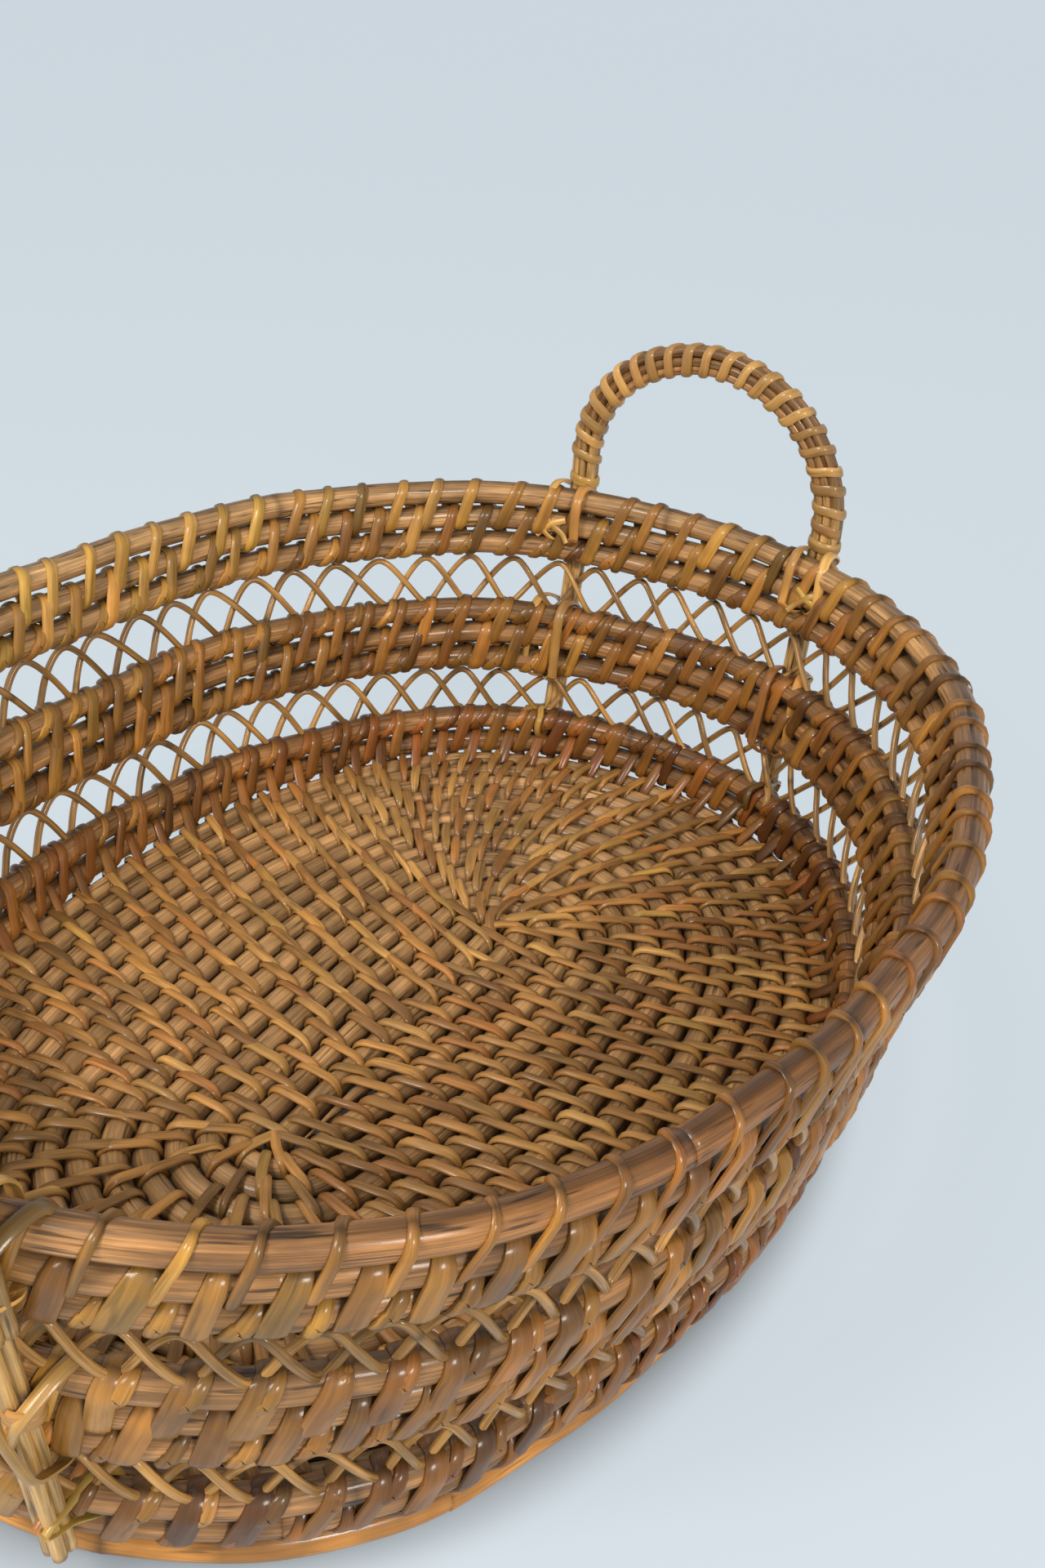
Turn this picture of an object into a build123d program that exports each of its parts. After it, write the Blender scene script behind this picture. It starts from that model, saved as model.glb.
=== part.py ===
from build123d import *
import math
import os

# An oval rattan tray basket with two end handles, in millimetres.
#
# The floor is one rod wound into an oval spiral. Three bands of rods stand on its edge, with
# two open lattices of thin cane between them. Peel strips bind neighbouring rods, and each
# handle is a bundle of thin rods whose legs run down the outside of the wall as posts.
#
# The origin is on the surface that the basket stands on, under the middle of the basket.
# X runs from handle to handle and Z is up.

# Rattan sizes
ROD = 6.6                    # diameter of a wall rod
ROD_PITCH = 7.5              # from one wall rod's centre to the next
FLOOR_ROD = 6.3              # diameter of the coiled floor rod
PEEL = 0.7                   # thickness of a peel strip
PEEL_WIDTH = 3.0
PEEL_GAP = 0.05              # between a strip and the rod that it goes round
CANE = 1.4                   # diameter of a lattice cane
HANDLE_ROD = 3.4             # diameter of each of the four rods in a handle

# Outline: centre-lines of the lowest base rod and of the top rim rod
BASE_HALF_LENGTH = 143.0
BASE_HALF_WIDTH = 100.7
RIM_HALF_LENGTH = 151.3
RIM_HALF_WIDTH = 117.9
FLANK_RADIUS = 217.0         # of the two long sides of every wall rod
BASE_HEIGHT = 15.95          # centre of the lowest base rod

# Wall rods, each at its distance up the slanting wall, counted in rod pitches
WALL_RODS = {
    "base_rod_lower": 0.0,
    "base_rod_upper": 1.0,
    "mid_rod_lower": 3.65,
    "mid_rod_middle": 4.65,
    "mid_rod_upper": 5.65,
    "rim_rod_lower": 8.4,
    "rim_rod_middle": 9.4,
    "rim_rod_upper": 10.4,
}
RIM_LEVEL = WALL_RODS["rim_rod_upper"]

# Foot ring, flattened where it meets the table
FOOT_INSET = 4.2             # inside the lowest base rod, under the floor's last turn
FOOT_FLAT = 0.3              # how much of the rod is worn away below

# Floor coil
FLOOR_HEIGHT = 10.25
FLOOR_INSET = 4.9            # from the lowest base rod in to the last turn
FLOOR_TURNS = 13
CORE_HALF_LENGTH = 46.5
END_ROUNDNESS_CORE = 0.97    # end radius over half width, at the first turn
END_ROUNDNESS_EDGE = 0.87    # and at the last turn
KNOTS_PER_TURN = 8           # places in one turn of the coil where arcs meet
COIL_START = -2              # knot where the first turn begins, beside the core rod
STEP_START = 4               # knots between which each turn moves out to the next
STEP_END = 6

# Stitches
STITCHES_PER_ROW = 76        # round the wall
FLOOR_STITCH_PITCH = 9.8
FLOOR_ROW_SHIFT = 3.1        # from one row of floor stitches to the next
SEARCH_HALVINGS = 30         # when looking for the row next to a stitch

# Lattice
LATTICE_SECTORS = 8
ARCHES_PER_SECTOR = 9
LATTICE_BEND = 5.0           # radius where a cane turns back
LATTICE_OFFSET = 0.8         # of each leg from the middle of the wall, to pass the others

# Handles
HANDLE_HALF_SPACING = 38.2   # from the middle to each leg
HANDLE_RISE = 48.8           # top of the loop's centre-line above the top rim rod
HANDLE_LEAN = 0.1            # inwards, for each millimetre above the rim
HANDLE_NECK_BEND = 40.0      # radius where the leaning post turns up into the loop
HANDLE_NECK_HEIGHT = 5.0     # of that bend above the top rim rod
ROD_SPREAD = 1.75            # from the bundle's middle to each rod's centre
POST_CLEARANCE = 0.4         # between the posts and the stitched wall
POST_BOTTOM = 9.0            # height of the posts' lower ends
LEFT_HANDLE_SHIFT = 8.5      # along the rim, as it was tied on off the middle
WRAP_PITCH = 5.6
WRAP_START = 9.0             # of the first wrap above the neck's bend
LASHING_TILT = 32.0          # degrees from upright, for the crossed strips

WALL_LEAN = math.atan2(
    (RIM_HALF_LENGTH - BASE_HALF_LENGTH + RIM_HALF_WIDTH - BASE_HALF_WIDTH) / 2,
    RIM_LEVEL * ROD_PITCH,
)


class Oval:
    """A four-centre oval: two end arcs and two flank arcs that meet tangentially."""

    def __init__(self, half_length, half_width, height, end_radius=None):
        self.half_length = half_length
        self.half_width = half_width
        self.height = height
        if end_radius is None:
            rise = FLANK_RADIUS - half_width
            self.end_radius = (FLANK_RADIUS**2 - half_length**2 - rise**2) / (
                2 * (FLANK_RADIUS - half_length)
            )
            self.flank_radius = FLANK_RADIUS
        else:
            reach = half_length - end_radius
            self.end_radius = end_radius
            self.flank_radius = (reach**2 + half_width**2 - end_radius**2) / (
                2 * (half_width - end_radius)
            )
        self.end_centre = half_length - self.end_radius
        self.flank_centre = half_width - self.flank_radius
        self.joint_angle = math.atan2(-self.flank_centre, self.end_centre)

    def quarter_length(self):
        flank_angle = math.pi / 2 - self.joint_angle
        return self.end_radius * self.joint_angle + self.flank_radius * flank_angle

    def perimeter(self):
        return 4 * self.quarter_length()

    def quarter_point(self, normal_angle):
        """The point of the first quarter whose outward normal has this angle."""
        if normal_angle < self.joint_angle:
            x = self.end_centre + self.end_radius * math.cos(normal_angle)
            y = self.end_radius * math.sin(normal_angle)
        else:
            x = self.flank_radius * math.cos(normal_angle)
            y = self.flank_centre + self.flank_radius * math.sin(normal_angle)
        return x, y

    def normal_angle(self, distance):
        """Outward normal's angle at a distance along the first quarter."""
        end_arc = self.end_radius * self.joint_angle
        if distance < end_arc:
            return distance / self.end_radius
        return self.joint_angle + (distance - end_arc) / self.flank_radius

    def frame(self, turn):
        """Point, tangent and outward normal at a share of the way round, from +X."""
        quarter, share = divmod((turn % 1.0) * 4, 1.0)
        mirrored = quarter in (1, 3)
        distance = self.quarter_length() * (1 - share if mirrored else share)
        angle = self.normal_angle(distance)
        x, y = self.quarter_point(angle)
        flip_x = -1 if quarter in (1, 2) else 1
        flip_y = -1 if quarter in (2, 3) else 1
        normal = Vector(flip_x * math.cos(angle), flip_y * math.sin(angle), 0)
        point = Vector(flip_x * x, flip_y * y, self.height)
        return point, Vector(-normal.Y, normal.X, 0), normal

    def end_point(self, y):
        """The point of the +X end at a given Y."""
        return Vector(self.end_centre + math.sqrt(self.end_radius**2 - y**2), y, self.height)

    def path(self):
        """The closed centre-line, as four arcs."""
        joint = math.degrees(self.joint_angle)
        end = (self.end_radius, 2 * joint)
        flank = (self.flank_radius, 180 - 2 * joint)
        centres = [
            (self.end_centre, 0, -joint, end),
            (0, self.flank_centre, joint, flank),
            (-self.end_centre, 0, 180 - joint, end),
            (0, -self.flank_centre, 180 + joint, flank),
        ]
        arcs = []
        for x, y, start, (radius, sweep_angle) in centres:
            arcs += CenterArc((x, y, self.height), radius, start, sweep_angle).edges()
        return Wire(arcs)


def wall_oval(level):
    """The wall's oval at a distance up the wall, in rod pitches."""
    share = level / RIM_LEVEL
    half_length = BASE_HALF_LENGTH + (RIM_HALF_LENGTH - BASE_HALF_LENGTH) * share
    half_width = BASE_HALF_WIDTH + (RIM_HALF_WIDTH - BASE_HALF_WIDTH) * share
    return Oval(half_length, half_width, BASE_HEIGHT + level * ROD_PITCH * math.cos(WALL_LEAN))


def floor_oval(row):
    """One turn of the floor, counted in rows from the core rod."""
    share = row / FLOOR_TURNS
    edge_half_length = BASE_HALF_LENGTH - FLOOR_INSET
    half_length = CORE_HALF_LENGTH + (edge_half_length - CORE_HALF_LENGTH) * share
    half_width = (BASE_HALF_WIDTH - FLOOR_INSET) * share
    roundness = END_ROUNDNESS_CORE + (END_ROUNDNESS_EDGE - END_ROUNDNESS_CORE) * share
    return Oval(half_length, half_width, FLOOR_HEIGHT, half_width * roundness)


def round_rod(path, diameter):
    """A round rod along a path."""
    start = Plane(origin=path @ 0, z_dir=path % 0)
    return sweep(start * Circle(diameter / 2), path=path)


def biarc(start, start_tangent, end, end_tangent):
    """Two arcs that leave and arrive along the given tangents."""
    chord = end - start
    both = start_tangent + end_tangent
    spread = 2 * (1 - start_tangent.dot(end_tangent))
    along = chord.dot(both)
    if spread < 1e-6:
        reach = chord.dot(chord) / (2 * along)
    else:
        reach = (math.sqrt(along**2 + spread * chord.dot(chord)) - along) / spread
    first_corner = start + start_tangent * reach
    last_corner = end - end_tangent * reach
    middle = (first_corner + last_corner) / 2
    return [
        Edge.make_tangent_arc(start, start_tangent, middle),
        Edge.make_tangent_arc(middle, last_corner - first_corner, end),
    ]


def coil_row(knot):
    """Which row the coil is in: whole rows, joined by a smooth step in each turn."""
    turn, place = divmod(knot, KNOTS_PER_TURN)
    share = min(max((place - STEP_START) / (STEP_END - STEP_START), 0), 1)
    return 1 + turn + share * share * (3 - 2 * share)


def coil_point(knot):
    """A point of the coil. Whole knots are arc joints and the middles of ends and flanks."""
    oval = floor_oval(coil_row(knot))
    quarter, place = divmod(knot % KNOTS_PER_TURN, 2)
    if quarter in (1, 3):
        place = 2 - place
    if place < 1:
        angle = oval.joint_angle * place
    else:
        angle = oval.joint_angle + (math.pi / 2 - oval.joint_angle) * (place - 1)
    x, y = oval.quarter_point(angle)
    flip_x = -1 if quarter in (1, 2) else 1
    flip_y = -1 if quarter in (2, 3) else 1
    return Vector(flip_x * x, flip_y * y, oval.height)


def floor_coil():
    """The spiral of the floor, as tangent arcs between its knots."""
    step = 1e-3
    last_knot = KNOTS_PER_TURN * (FLOOR_TURNS - 1) + STEP_START
    knots = range(COIL_START, last_knot + 1)
    points = [coil_point(knot) for knot in knots]
    tangents = [(coil_point(knot + step) - coil_point(knot - step)).normalized() for knot in knots]
    arcs = []
    for index in range(len(points) - 1):
        arcs += biarc(points[index], tangents[index], points[index + 1], tangents[index + 1])
    return round_rod(Wire(arcs), FLOOR_ROD)


def floor_core_rod():
    """The straight rod that the coil starts round."""
    half = CORE_HALF_LENGTH
    path = Wire([Edge.make_line((-half, 0, FLOOR_HEIGHT), (half, 0, FLOOR_HEIGHT))])
    return round_rod(path, FLOOR_ROD)


def foot_ring():
    """The plain rod under the outer edge, flattened along its underside."""
    height = ROD / 2 - FOOT_FLAT
    end_radius = wall_oval(0).end_radius - FOOT_INSET
    oval = Oval(BASE_HALF_LENGTH - FOOT_INSET, BASE_HALF_WIDTH - FOOT_INSET, height, end_radius)
    ground = Box(
        4 * BASE_HALF_LENGTH, 4 * BASE_HALF_LENGTH, ROD, align=(Align.CENTER, Align.CENTER, Align.MAX)
    )
    return round_rod(oval.path(), ROD) - ground


def peel_loop(first, second, tangent, rod):
    """A peel strip round two neighbouring rods, or round one when both points are the same."""
    spacing = (second - first).length
    inner = rod + 2 * PEEL_GAP
    outer = inner + 2 * PEEL
    if spacing == 0:
        ring = Circle(outer / 2) - Circle(inner / 2)
        plane = Plane(origin=first, z_dir=tangent)
    else:
        ring = SlotCenterToCenter(spacing, outer) - SlotCenterToCenter(spacing, inner)
        plane = Plane(origin=(first + second) / 2, x_dir=second - first, z_dir=tangent)
    return extrude(plane * ring, amount=PEEL_WIDTH / 2, both=True)


def wall_stitches(first_oval, second_oval, phase):
    """One row of stitches round the wall."""
    loops = []
    for index in range(STITCHES_PER_ROW):
        turn = (index + phase) / STITCHES_PER_ROW
        first, tangent, _ = first_oval.frame(turn)
        second = second_oval.frame(turn)[0]
        loops.append(peel_loop(first, second, tangent, ROD))
    return Compound(loops)


def floor_stitches(first_row, last_row):
    """The stitches that bind each row of the floor to the row inside it."""
    loops = []
    for row in range(first_row, last_row + 1):
        outer = floor_oval(row)
        count = round(outer.perimeter() / FLOOR_STITCH_PITCH)
        phase = 0.25 + row * FLOOR_ROW_SHIFT / outer.perimeter()
        for index in range(count):
            outer_point, tangent, normal = outer.frame(phase + index / count)
            inner_point = nearest_on_row(row - 1, outer_point, normal)
            loops.append(peel_loop(inner_point, outer_point, tangent, FLOOR_ROD))
    return Compound(loops)


def nearest_on_row(row, point, normal):
    """Where the inward normal from a point meets the row inside it. Row 0 is the core rod."""
    if row == 0:
        half = CORE_HALF_LENGTH
        return Vector(min(max(point.X, -half), half), 0, FLOOR_HEIGHT)
    oval = floor_oval(row)
    low, high = 0.0, 2 * ROD_PITCH
    for _ in range(SEARCH_HALVINGS):
        middle = (low + high) / 2
        inside = is_inside(oval, point - normal * middle)
        low, high = (low, middle) if inside else (middle, high)
    return point - normal * high


def is_inside(oval, point):
    """Whether a point lies inside an oval, seen from above."""
    x, y = abs(point.X), abs(point.Y)
    in_flank = math.hypot(x, y - oval.flank_centre) < oval.flank_radius
    in_end = math.hypot(x - oval.end_centre, y) < oval.end_radius
    beyond_joint = math.atan2(y, x - oval.end_centre) < oval.joint_angle
    return in_end if beyond_joint else in_flank


def lattice_sector(lower_level, upper_level, sector):
    """Two canes that zigzag between two bands over one sector of the wall."""
    clearance = (ROD + CANE) / 2 + PEEL
    low = lower_level + clearance / ROD_PITCH
    high = upper_level - clearance / ROD_PITCH
    arches = LATTICE_SECTORS * ARCHES_PER_SECTOR
    canes = []
    for wave in (0, 1):
        points = []
        for index in range(ARCHES_PER_SECTOR + 1):
            column = sector * ARCHES_PER_SECTOR + index
            at_top = (column + wave) % 2 == 0
            point, _, normal = wall_oval(high if at_top else low).frame(column / arches)
            side = LATTICE_OFFSET if at_top else -LATTICE_OFFSET
            points.append(point + normal * side)
        canes.append(round_rod(FilletPolyline(*points, radius=LATTICE_BEND).wire(), CANE))
    return Compound(canes)


def handle_path(side, spread_in_loop=0.0, spread_across=0.0):
    """Centre-line of a handle rod: up one post, over the loop and down the other post."""
    half_spacing = HANDLE_HALF_SPACING + spread_in_loop
    bottom_level = (POST_BOTTOM - BASE_HEIGHT) / (ROD_PITCH * math.cos(WALL_LEAN))
    outset = ROD / 2 + PEEL + POST_CLEARANCE + ROD_SPREAD + HANDLE_ROD / 2
    bottom = wall_oval(bottom_level).end_point(HANDLE_HALF_SPACING).X + outset + spread_across
    rim = wall_oval(RIM_LEVEL)
    neck = rim.end_point(HANDLE_HALF_SPACING).X + outset + spread_across
    neck_height = rim.height + HANDLE_NECK_HEIGHT
    top_height = rim.height + HANDLE_RISE + spread_in_loop
    top = neck - HANDLE_LEAN * (top_height - neck_height)
    corners = [
        (side * bottom, -half_spacing, POST_BOTTOM),
        (side * neck, -half_spacing, neck_height),
        (side * top, -half_spacing, top_height),
        (side * top, half_spacing, top_height),
        (side * neck, half_spacing, neck_height),
        (side * bottom, half_spacing, POST_BOTTOM),
    ]
    loop_radius = half_spacing - 0.1
    radii = [HANDLE_NECK_BEND, loop_radius, loop_radius, HANDLE_NECK_BEND]
    return FilletPolyline(*corners, radius=radii).wire()


def handle_rods(side, spread_in_loop):
    """Two of a handle's four rods: the pair on the outside or the inside of the loop."""
    paths = [handle_path(side, spread_in_loop, across) for across in (-ROD_SPREAD, ROD_SPREAD)]
    return Compound([round_rod(path, HANDLE_ROD) for path in paths])


def bundle_ring(plane, half_height, half_depth, corner):
    """A flat-sided peel ring in a plane: half_depth along its X, half_height along its Y."""
    outer = RectangleRounded(2 * (half_depth + PEEL), 2 * (half_height + PEEL), corner + PEEL)
    return extrude(
        plane * (outer - RectangleRounded(2 * half_depth, 2 * half_height, corner)),
        amount=PEEL_WIDTH / 2,
        both=True,
    )


def handle_wrap(side):
    """The peel wrapped round a handle's loop, as one ring for each turn."""
    path = handle_path(side)
    half = ROD_SPREAD + HANDLE_ROD / 2 + PEEL_GAP
    neck = (wall_oval(RIM_LEVEL).height + HANDLE_NECK_HEIGHT - POST_BOTTOM) / math.cos(WALL_LEAN)
    start = neck + WRAP_START
    count = round((path.length - 2 * start) / WRAP_PITCH)
    rings = []
    for index in range(count + 1):
        share = (start + (path.length - 2 * start) * index / count) / path.length
        plane = Plane(origin=path.position_at(share), x_dir=(1, 0, 0), z_dir=path.tangent_at(share))
        rings.append(bundle_ring(plane, half, half, HANDLE_ROD / 2))
    return Compound(rings)


def crossed_lashing(side, lower_level, upper_level):
    """For each post, two strips that cross over it and hold it to a band of three rods."""
    middle = wall_oval((lower_level + upper_level) / 2)
    band = (upper_level - lower_level) * ROD_PITCH / 2 + ROD / 2 + PEEL
    bundle = 2 * ROD_SPREAD + HANDLE_ROD
    depth = ROD + PEEL + POST_CLEARANCE + bundle
    strips = []
    for leg in (-1, 1):
        rod_centre = middle.end_point(leg * HANDLE_HALF_SPACING)
        centre = rod_centre + Vector((depth - ROD) / 2, 0, 0)
        for layer, tilt in enumerate((-LASHING_TILT, LASHING_TILT)):
            grown = layer * (PEEL + PEEL_GAP)
            half_depth = depth / 2 + PEEL + PEEL_GAP + grown
            half_height = band / math.cos(math.radians(tilt)) + PEEL_WIDTH / 2 + grown
            upright = Vector(math.sin(WALL_LEAN), 0, math.cos(WALL_LEAN))
            along = Vector(0, 1, 0).rotate(Axis((0, 0, 0), (1, 0, 0)), tilt)
            plane = Plane(origin=centre, x_dir=along.cross(upright), z_dir=along)
            strips.append(bundle_ring(plane, half_height, half_depth, ROD / 2))
    return Compound([strip if side > 0 else strip.mirror(Plane.YZ) for strip in strips])


def base_lashing(side):
    """For each post, two strips side by side round the post and the upper base rod."""
    oval = wall_oval(WALL_RODS["base_rod_upper"])
    depth = ROD + PEEL + POST_CLEARANCE + 2 * ROD_SPREAD + HANDLE_ROD
    strips = []
    for leg in (-1, 1):
        for beside in (-PEEL_WIDTH, PEEL_WIDTH):
            rod_centre = oval.end_point(leg * HANDLE_HALF_SPACING + beside / 2)
            centre = rod_centre + Vector((depth - ROD) / 2, 0, 0)
            plane = Plane(origin=centre, x_dir=(1, 0, 0), z_dir=(0, 1, 0))
            ring = bundle_ring(plane, ROD / 2 + PEEL_GAP, depth / 2 + PEEL, ROD / 2)
            strips.append(ring if side > 0 else ring.mirror(Plane.YZ))
    return Compound(strips)


def set_off_middle(shape):
    """Turns the left handle a little round its end of the rim."""
    rim = wall_oval(RIM_LEVEL)
    turn = -math.degrees(math.asin(LEFT_HANDLE_SHIFT / rim.end_radius))
    return shape.rotate(Axis((-rim.end_centre, 0, 0), (0, 0, 1)), turn)


def build():
    """Every sub-part by name."""
    rods = {name: wall_oval(level) for name, level in WALL_RODS.items()}
    edge = floor_oval(FLOOR_TURNS)
    parts = {
        "foot_ring": foot_ring(),
        "floor_core_rod": floor_core_rod(),
        "floor_coil": floor_coil(),
        "floor_stitches_inner": floor_stitches(1, 5),
        "floor_stitches_middle": floor_stitches(6, 9),
        "floor_stitches_outer": floor_stitches(10, FLOOR_TURNS),
    }
    for name, oval in rods.items():
        parts[name] = round_rod(oval.path(), ROD)
    rows = [
        ("base_edge_stitches", edge, rods["base_rod_lower"]),
        ("base_stitches", rods["base_rod_lower"], rods["base_rod_upper"]),
        ("base_top_wraps", rods["base_rod_upper"], rods["base_rod_upper"]),
        ("mid_bottom_wraps", rods["mid_rod_lower"], rods["mid_rod_lower"]),
        ("mid_lower_stitches", rods["mid_rod_lower"], rods["mid_rod_middle"]),
        ("mid_upper_stitches", rods["mid_rod_middle"], rods["mid_rod_upper"]),
        ("mid_top_wraps", rods["mid_rod_upper"], rods["mid_rod_upper"]),
        ("rim_bottom_wraps", rods["rim_rod_lower"], rods["rim_rod_lower"]),
        ("rim_lower_stitches", rods["rim_rod_lower"], rods["rim_rod_middle"]),
        ("rim_upper_stitches", rods["rim_rod_middle"], rods["rim_rod_upper"]),
    ]
    for index, (name, first, second) in enumerate(rows):
        parts[name] = wall_stitches(first, second, phase=(index % 2) / 2)
    for sector in range(LATTICE_SECTORS):
        lower = (WALL_RODS["base_rod_upper"], WALL_RODS["mid_rod_lower"])
        upper = (WALL_RODS["mid_rod_upper"], WALL_RODS["rim_rod_lower"])
        parts[f"lower_lattice_{sector + 1}"] = lattice_sector(*lower, sector)
        parts[f"upper_lattice_{sector + 1}"] = lattice_sector(*upper, sector)
    for name, side in (("left", -1), ("right", 1)):
        parts[f"{name}_handle_outer_rods"] = handle_rods(side, ROD_SPREAD)
        parts[f"{name}_handle_inner_rods"] = handle_rods(side, -ROD_SPREAD)
        parts[f"{name}_handle_wrap"] = handle_wrap(side)
        parts[f"{name}_handle_rim_lashing"] = crossed_lashing(
            side, WALL_RODS["rim_rod_lower"], WALL_RODS["rim_rod_upper"]
        )
        parts[f"{name}_handle_mid_lashing"] = crossed_lashing(
            side, WALL_RODS["mid_rod_lower"], WALL_RODS["mid_rod_upper"]
        )
        parts[f"{name}_handle_base_lashing"] = base_lashing(side)
    for name in parts:
        if name.startswith("left_handle"):
            parts[name] = set_off_middle(parts[name])
    return parts


def reach(shapes):
    """How far the shapes reach along X, both ways."""
    boxes = [shape.bounding_box() for shape in shapes]
    return min(box.min.X for box in boxes), max(box.max.X for box in boxes)


os.makedirs("parts", exist_ok=True)
built = build()
centring = Location((-sum(reach(built.values())) / 2, 0, 0))
for part_name, shape in built.items():
    centred = shape.moved(centring)
    centred.label = part_name
    export_step(centred, f"parts/{part_name}.step")
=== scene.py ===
"""The look of an oval rattan tray basket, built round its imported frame. All lengths in metres.

Every rod, peel strip and cane is a mesh swept in this script. A peel binding is wound round
two neighbouring rods, and each of its turns has its own width, place and colour.
"""
import math

import bpy
import numpy as np
from mathutils import Matrix, Vector


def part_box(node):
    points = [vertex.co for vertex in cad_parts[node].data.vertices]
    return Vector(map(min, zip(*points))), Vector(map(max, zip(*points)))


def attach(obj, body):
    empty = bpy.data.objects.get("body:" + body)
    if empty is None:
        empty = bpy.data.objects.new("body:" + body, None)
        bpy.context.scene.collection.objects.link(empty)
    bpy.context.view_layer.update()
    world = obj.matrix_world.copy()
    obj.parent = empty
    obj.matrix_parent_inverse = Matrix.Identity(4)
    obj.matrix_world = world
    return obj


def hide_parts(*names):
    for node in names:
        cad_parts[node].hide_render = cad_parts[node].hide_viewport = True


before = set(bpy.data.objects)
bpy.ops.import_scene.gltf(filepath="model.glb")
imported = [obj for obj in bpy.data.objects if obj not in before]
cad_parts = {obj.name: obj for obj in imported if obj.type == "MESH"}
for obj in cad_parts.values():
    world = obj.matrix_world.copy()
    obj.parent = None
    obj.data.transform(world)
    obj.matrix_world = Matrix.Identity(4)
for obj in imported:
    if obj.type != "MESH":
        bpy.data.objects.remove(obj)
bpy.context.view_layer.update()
random = np.random.default_rng(23)

# The middle of the ovals, which the off-middle handle leaves a little beside the frame's origin
CENTRE_X = (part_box("base_rod_lower")[0].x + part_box("base_rod_lower")[1].x) / 2

# Sizes of the rattan
ROD_RADIUS = 0.0033
FLOOR_ROD_RADIUS = 0.00315
ROD_PITCH = 0.0075
PEEL_WIDTH = 0.0030
PEEL_THICKNESS = 0.00095
FLOOR_PEEL_THICKNESS = 0.00085
CANE_RADIUS = 0.0009

# Shape of the ovals and of the coil
FLANK_RADIUS = 0.217
FLOOR_TURNS = 13
END_ROUNDNESS_CORE = 0.97
END_ROUNDNESS_EDGE = 0.87

# Winding
WALL_STITCHES = 78
FLOOR_STITCH_PITCH = 0.0095
FLOOR_ROW_SHIFT = 0.0031
LATTICE_ARCHES = 72
LATTICE_STEPS = 16
LATTICE_BULGE = 0.0016
LATTICE_OUTSET = 0.0006
ARCH_ROUNDNESS = 1.2
ARCH_SMOOTHING = 10
LATTICE_CROWDING = 0.12
LATTICE_CROWDED_TURN = 0.375

FULL_TURN = 2 * math.pi
WOBBLE_ORDERS = np.arange(3, 12)    # of the waves that make an oval uneven


# ---- outlines

class Oval:
    """A four-centre oval whose points are found by their share of the way round, from +X."""

    def __init__(self, half_length, half_width, height, end_radius=None, wobble=0.0):
        self.flank_radius = FLANK_RADIUS
        if end_radius is None:
            drop = FLANK_RADIUS**2 - half_length**2 - (FLANK_RADIUS - half_width)**2
            end_radius = drop / (2 * (FLANK_RADIUS - half_length))
        else:
            rise = (half_length - end_radius)**2 + half_width**2 - end_radius**2
            self.flank_radius = rise / (2 * (half_width - end_radius))
        self.end_radius = end_radius
        self.height = height
        self.end_centre = half_length - end_radius
        self.flank_centre = half_width - self.flank_radius
        self.joint = math.atan2(-self.flank_centre, self.end_centre)
        self.end_arc = end_radius * self.joint
        self.quarter = self.end_arc + self.flank_radius * (math.pi / 2 - self.joint)
        self.perimeter = 4 * self.quarter
        shape = (2, len(WOBBLE_ORDERS))
        self.swing = wobble * random.normal(0, 1, shape) / np.sqrt(WOBBLE_ORDERS)
        self.phases = random.uniform(0, FULL_TURN, shape)

    def frames(self, turns):
        """Points, tangents and outward normals."""
        turns = np.asarray(turns, float)
        quarter, share = np.divmod(np.mod(turns, 1.0) * 4, 1.0)
        mirrored = (quarter == 1) | (quarter == 3)
        distance = self.quarter * np.where(mirrored, 1 - share, share)
        on_end = distance < self.end_arc
        angle = np.where(
            on_end,
            distance / self.end_radius,
            self.joint + (distance - self.end_arc) / self.flank_radius,
        )
        cos, sin = np.cos(angle), np.sin(angle)
        x = np.where(on_end, self.end_centre + self.end_radius * cos, self.flank_radius * cos)
        y = np.where(on_end, self.end_radius * sin, self.flank_centre + self.flank_radius * sin)
        flip_x = np.where((quarter == 1) | (quarter == 2), -1.0, 1.0)
        flip_y = np.where(quarter >= 2, -1.0, 1.0)
        flat = np.zeros_like(x)
        normal = np.stack([flip_x * cos, flip_y * sin, flat], -1)
        tangent = np.stack([-normal[..., 1], normal[..., 0], flat], -1)
        point = np.stack([flip_x * x, flip_y * y, flat + self.height], -1)
        waves = np.sin(FULL_TURN * turns[..., None] * WOBBLE_ORDERS + self.phases[0])
        lifts = np.sin(FULL_TURN * turns[..., None] * WOBBLE_ORDERS + self.phases[1])
        point = point + normal * (waves @ self.swing[0])[..., None]
        point[..., 2] += lifts @ self.swing[1]
        return point, tangent, normal

    def inward(self, point, normal):
        """Where the inward normals from points outside this oval meet it."""
        flip = np.where(point[..., :2] < 0, -1.0, 1.0)
        start = point[..., :2] * flip
        along = normal[..., :2] * flip

        def meet(centre, radius):
            offset = start - np.asarray(centre)
            along_offset = (offset * along).sum(-1)
            gap = along_offset**2 - (offset**2).sum(-1) + radius**2
            step = along_offset - np.sqrt(np.maximum(gap, 0))
            return start - along * step[..., None]
        on_end = meet((self.end_centre, 0.0), self.end_radius)
        on_flank = meet((0.0, self.flank_centre), self.flank_radius)
        beyond = np.arctan2(on_end[..., 1], on_end[..., 0] - self.end_centre) > self.joint
        best = np.where(beyond[..., None], on_flank, on_end)
        flat = np.full(best.shape[:-1] + (1,), self.height)
        return np.concatenate([best * flip, flat], -1)


def node_box(node):
    """Half of a node's size, and its highest point."""
    low, high = (np.asarray(corner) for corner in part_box(node))
    return (high - low) / 2, high[2]


def node_oval(node, radius, wobble):
    """The centre-line of a rod that the frame holds."""
    half, top = node_box(node)
    return Oval(half[0] - radius, half[1] - radius, top - radius, wobble=wobble)


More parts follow.
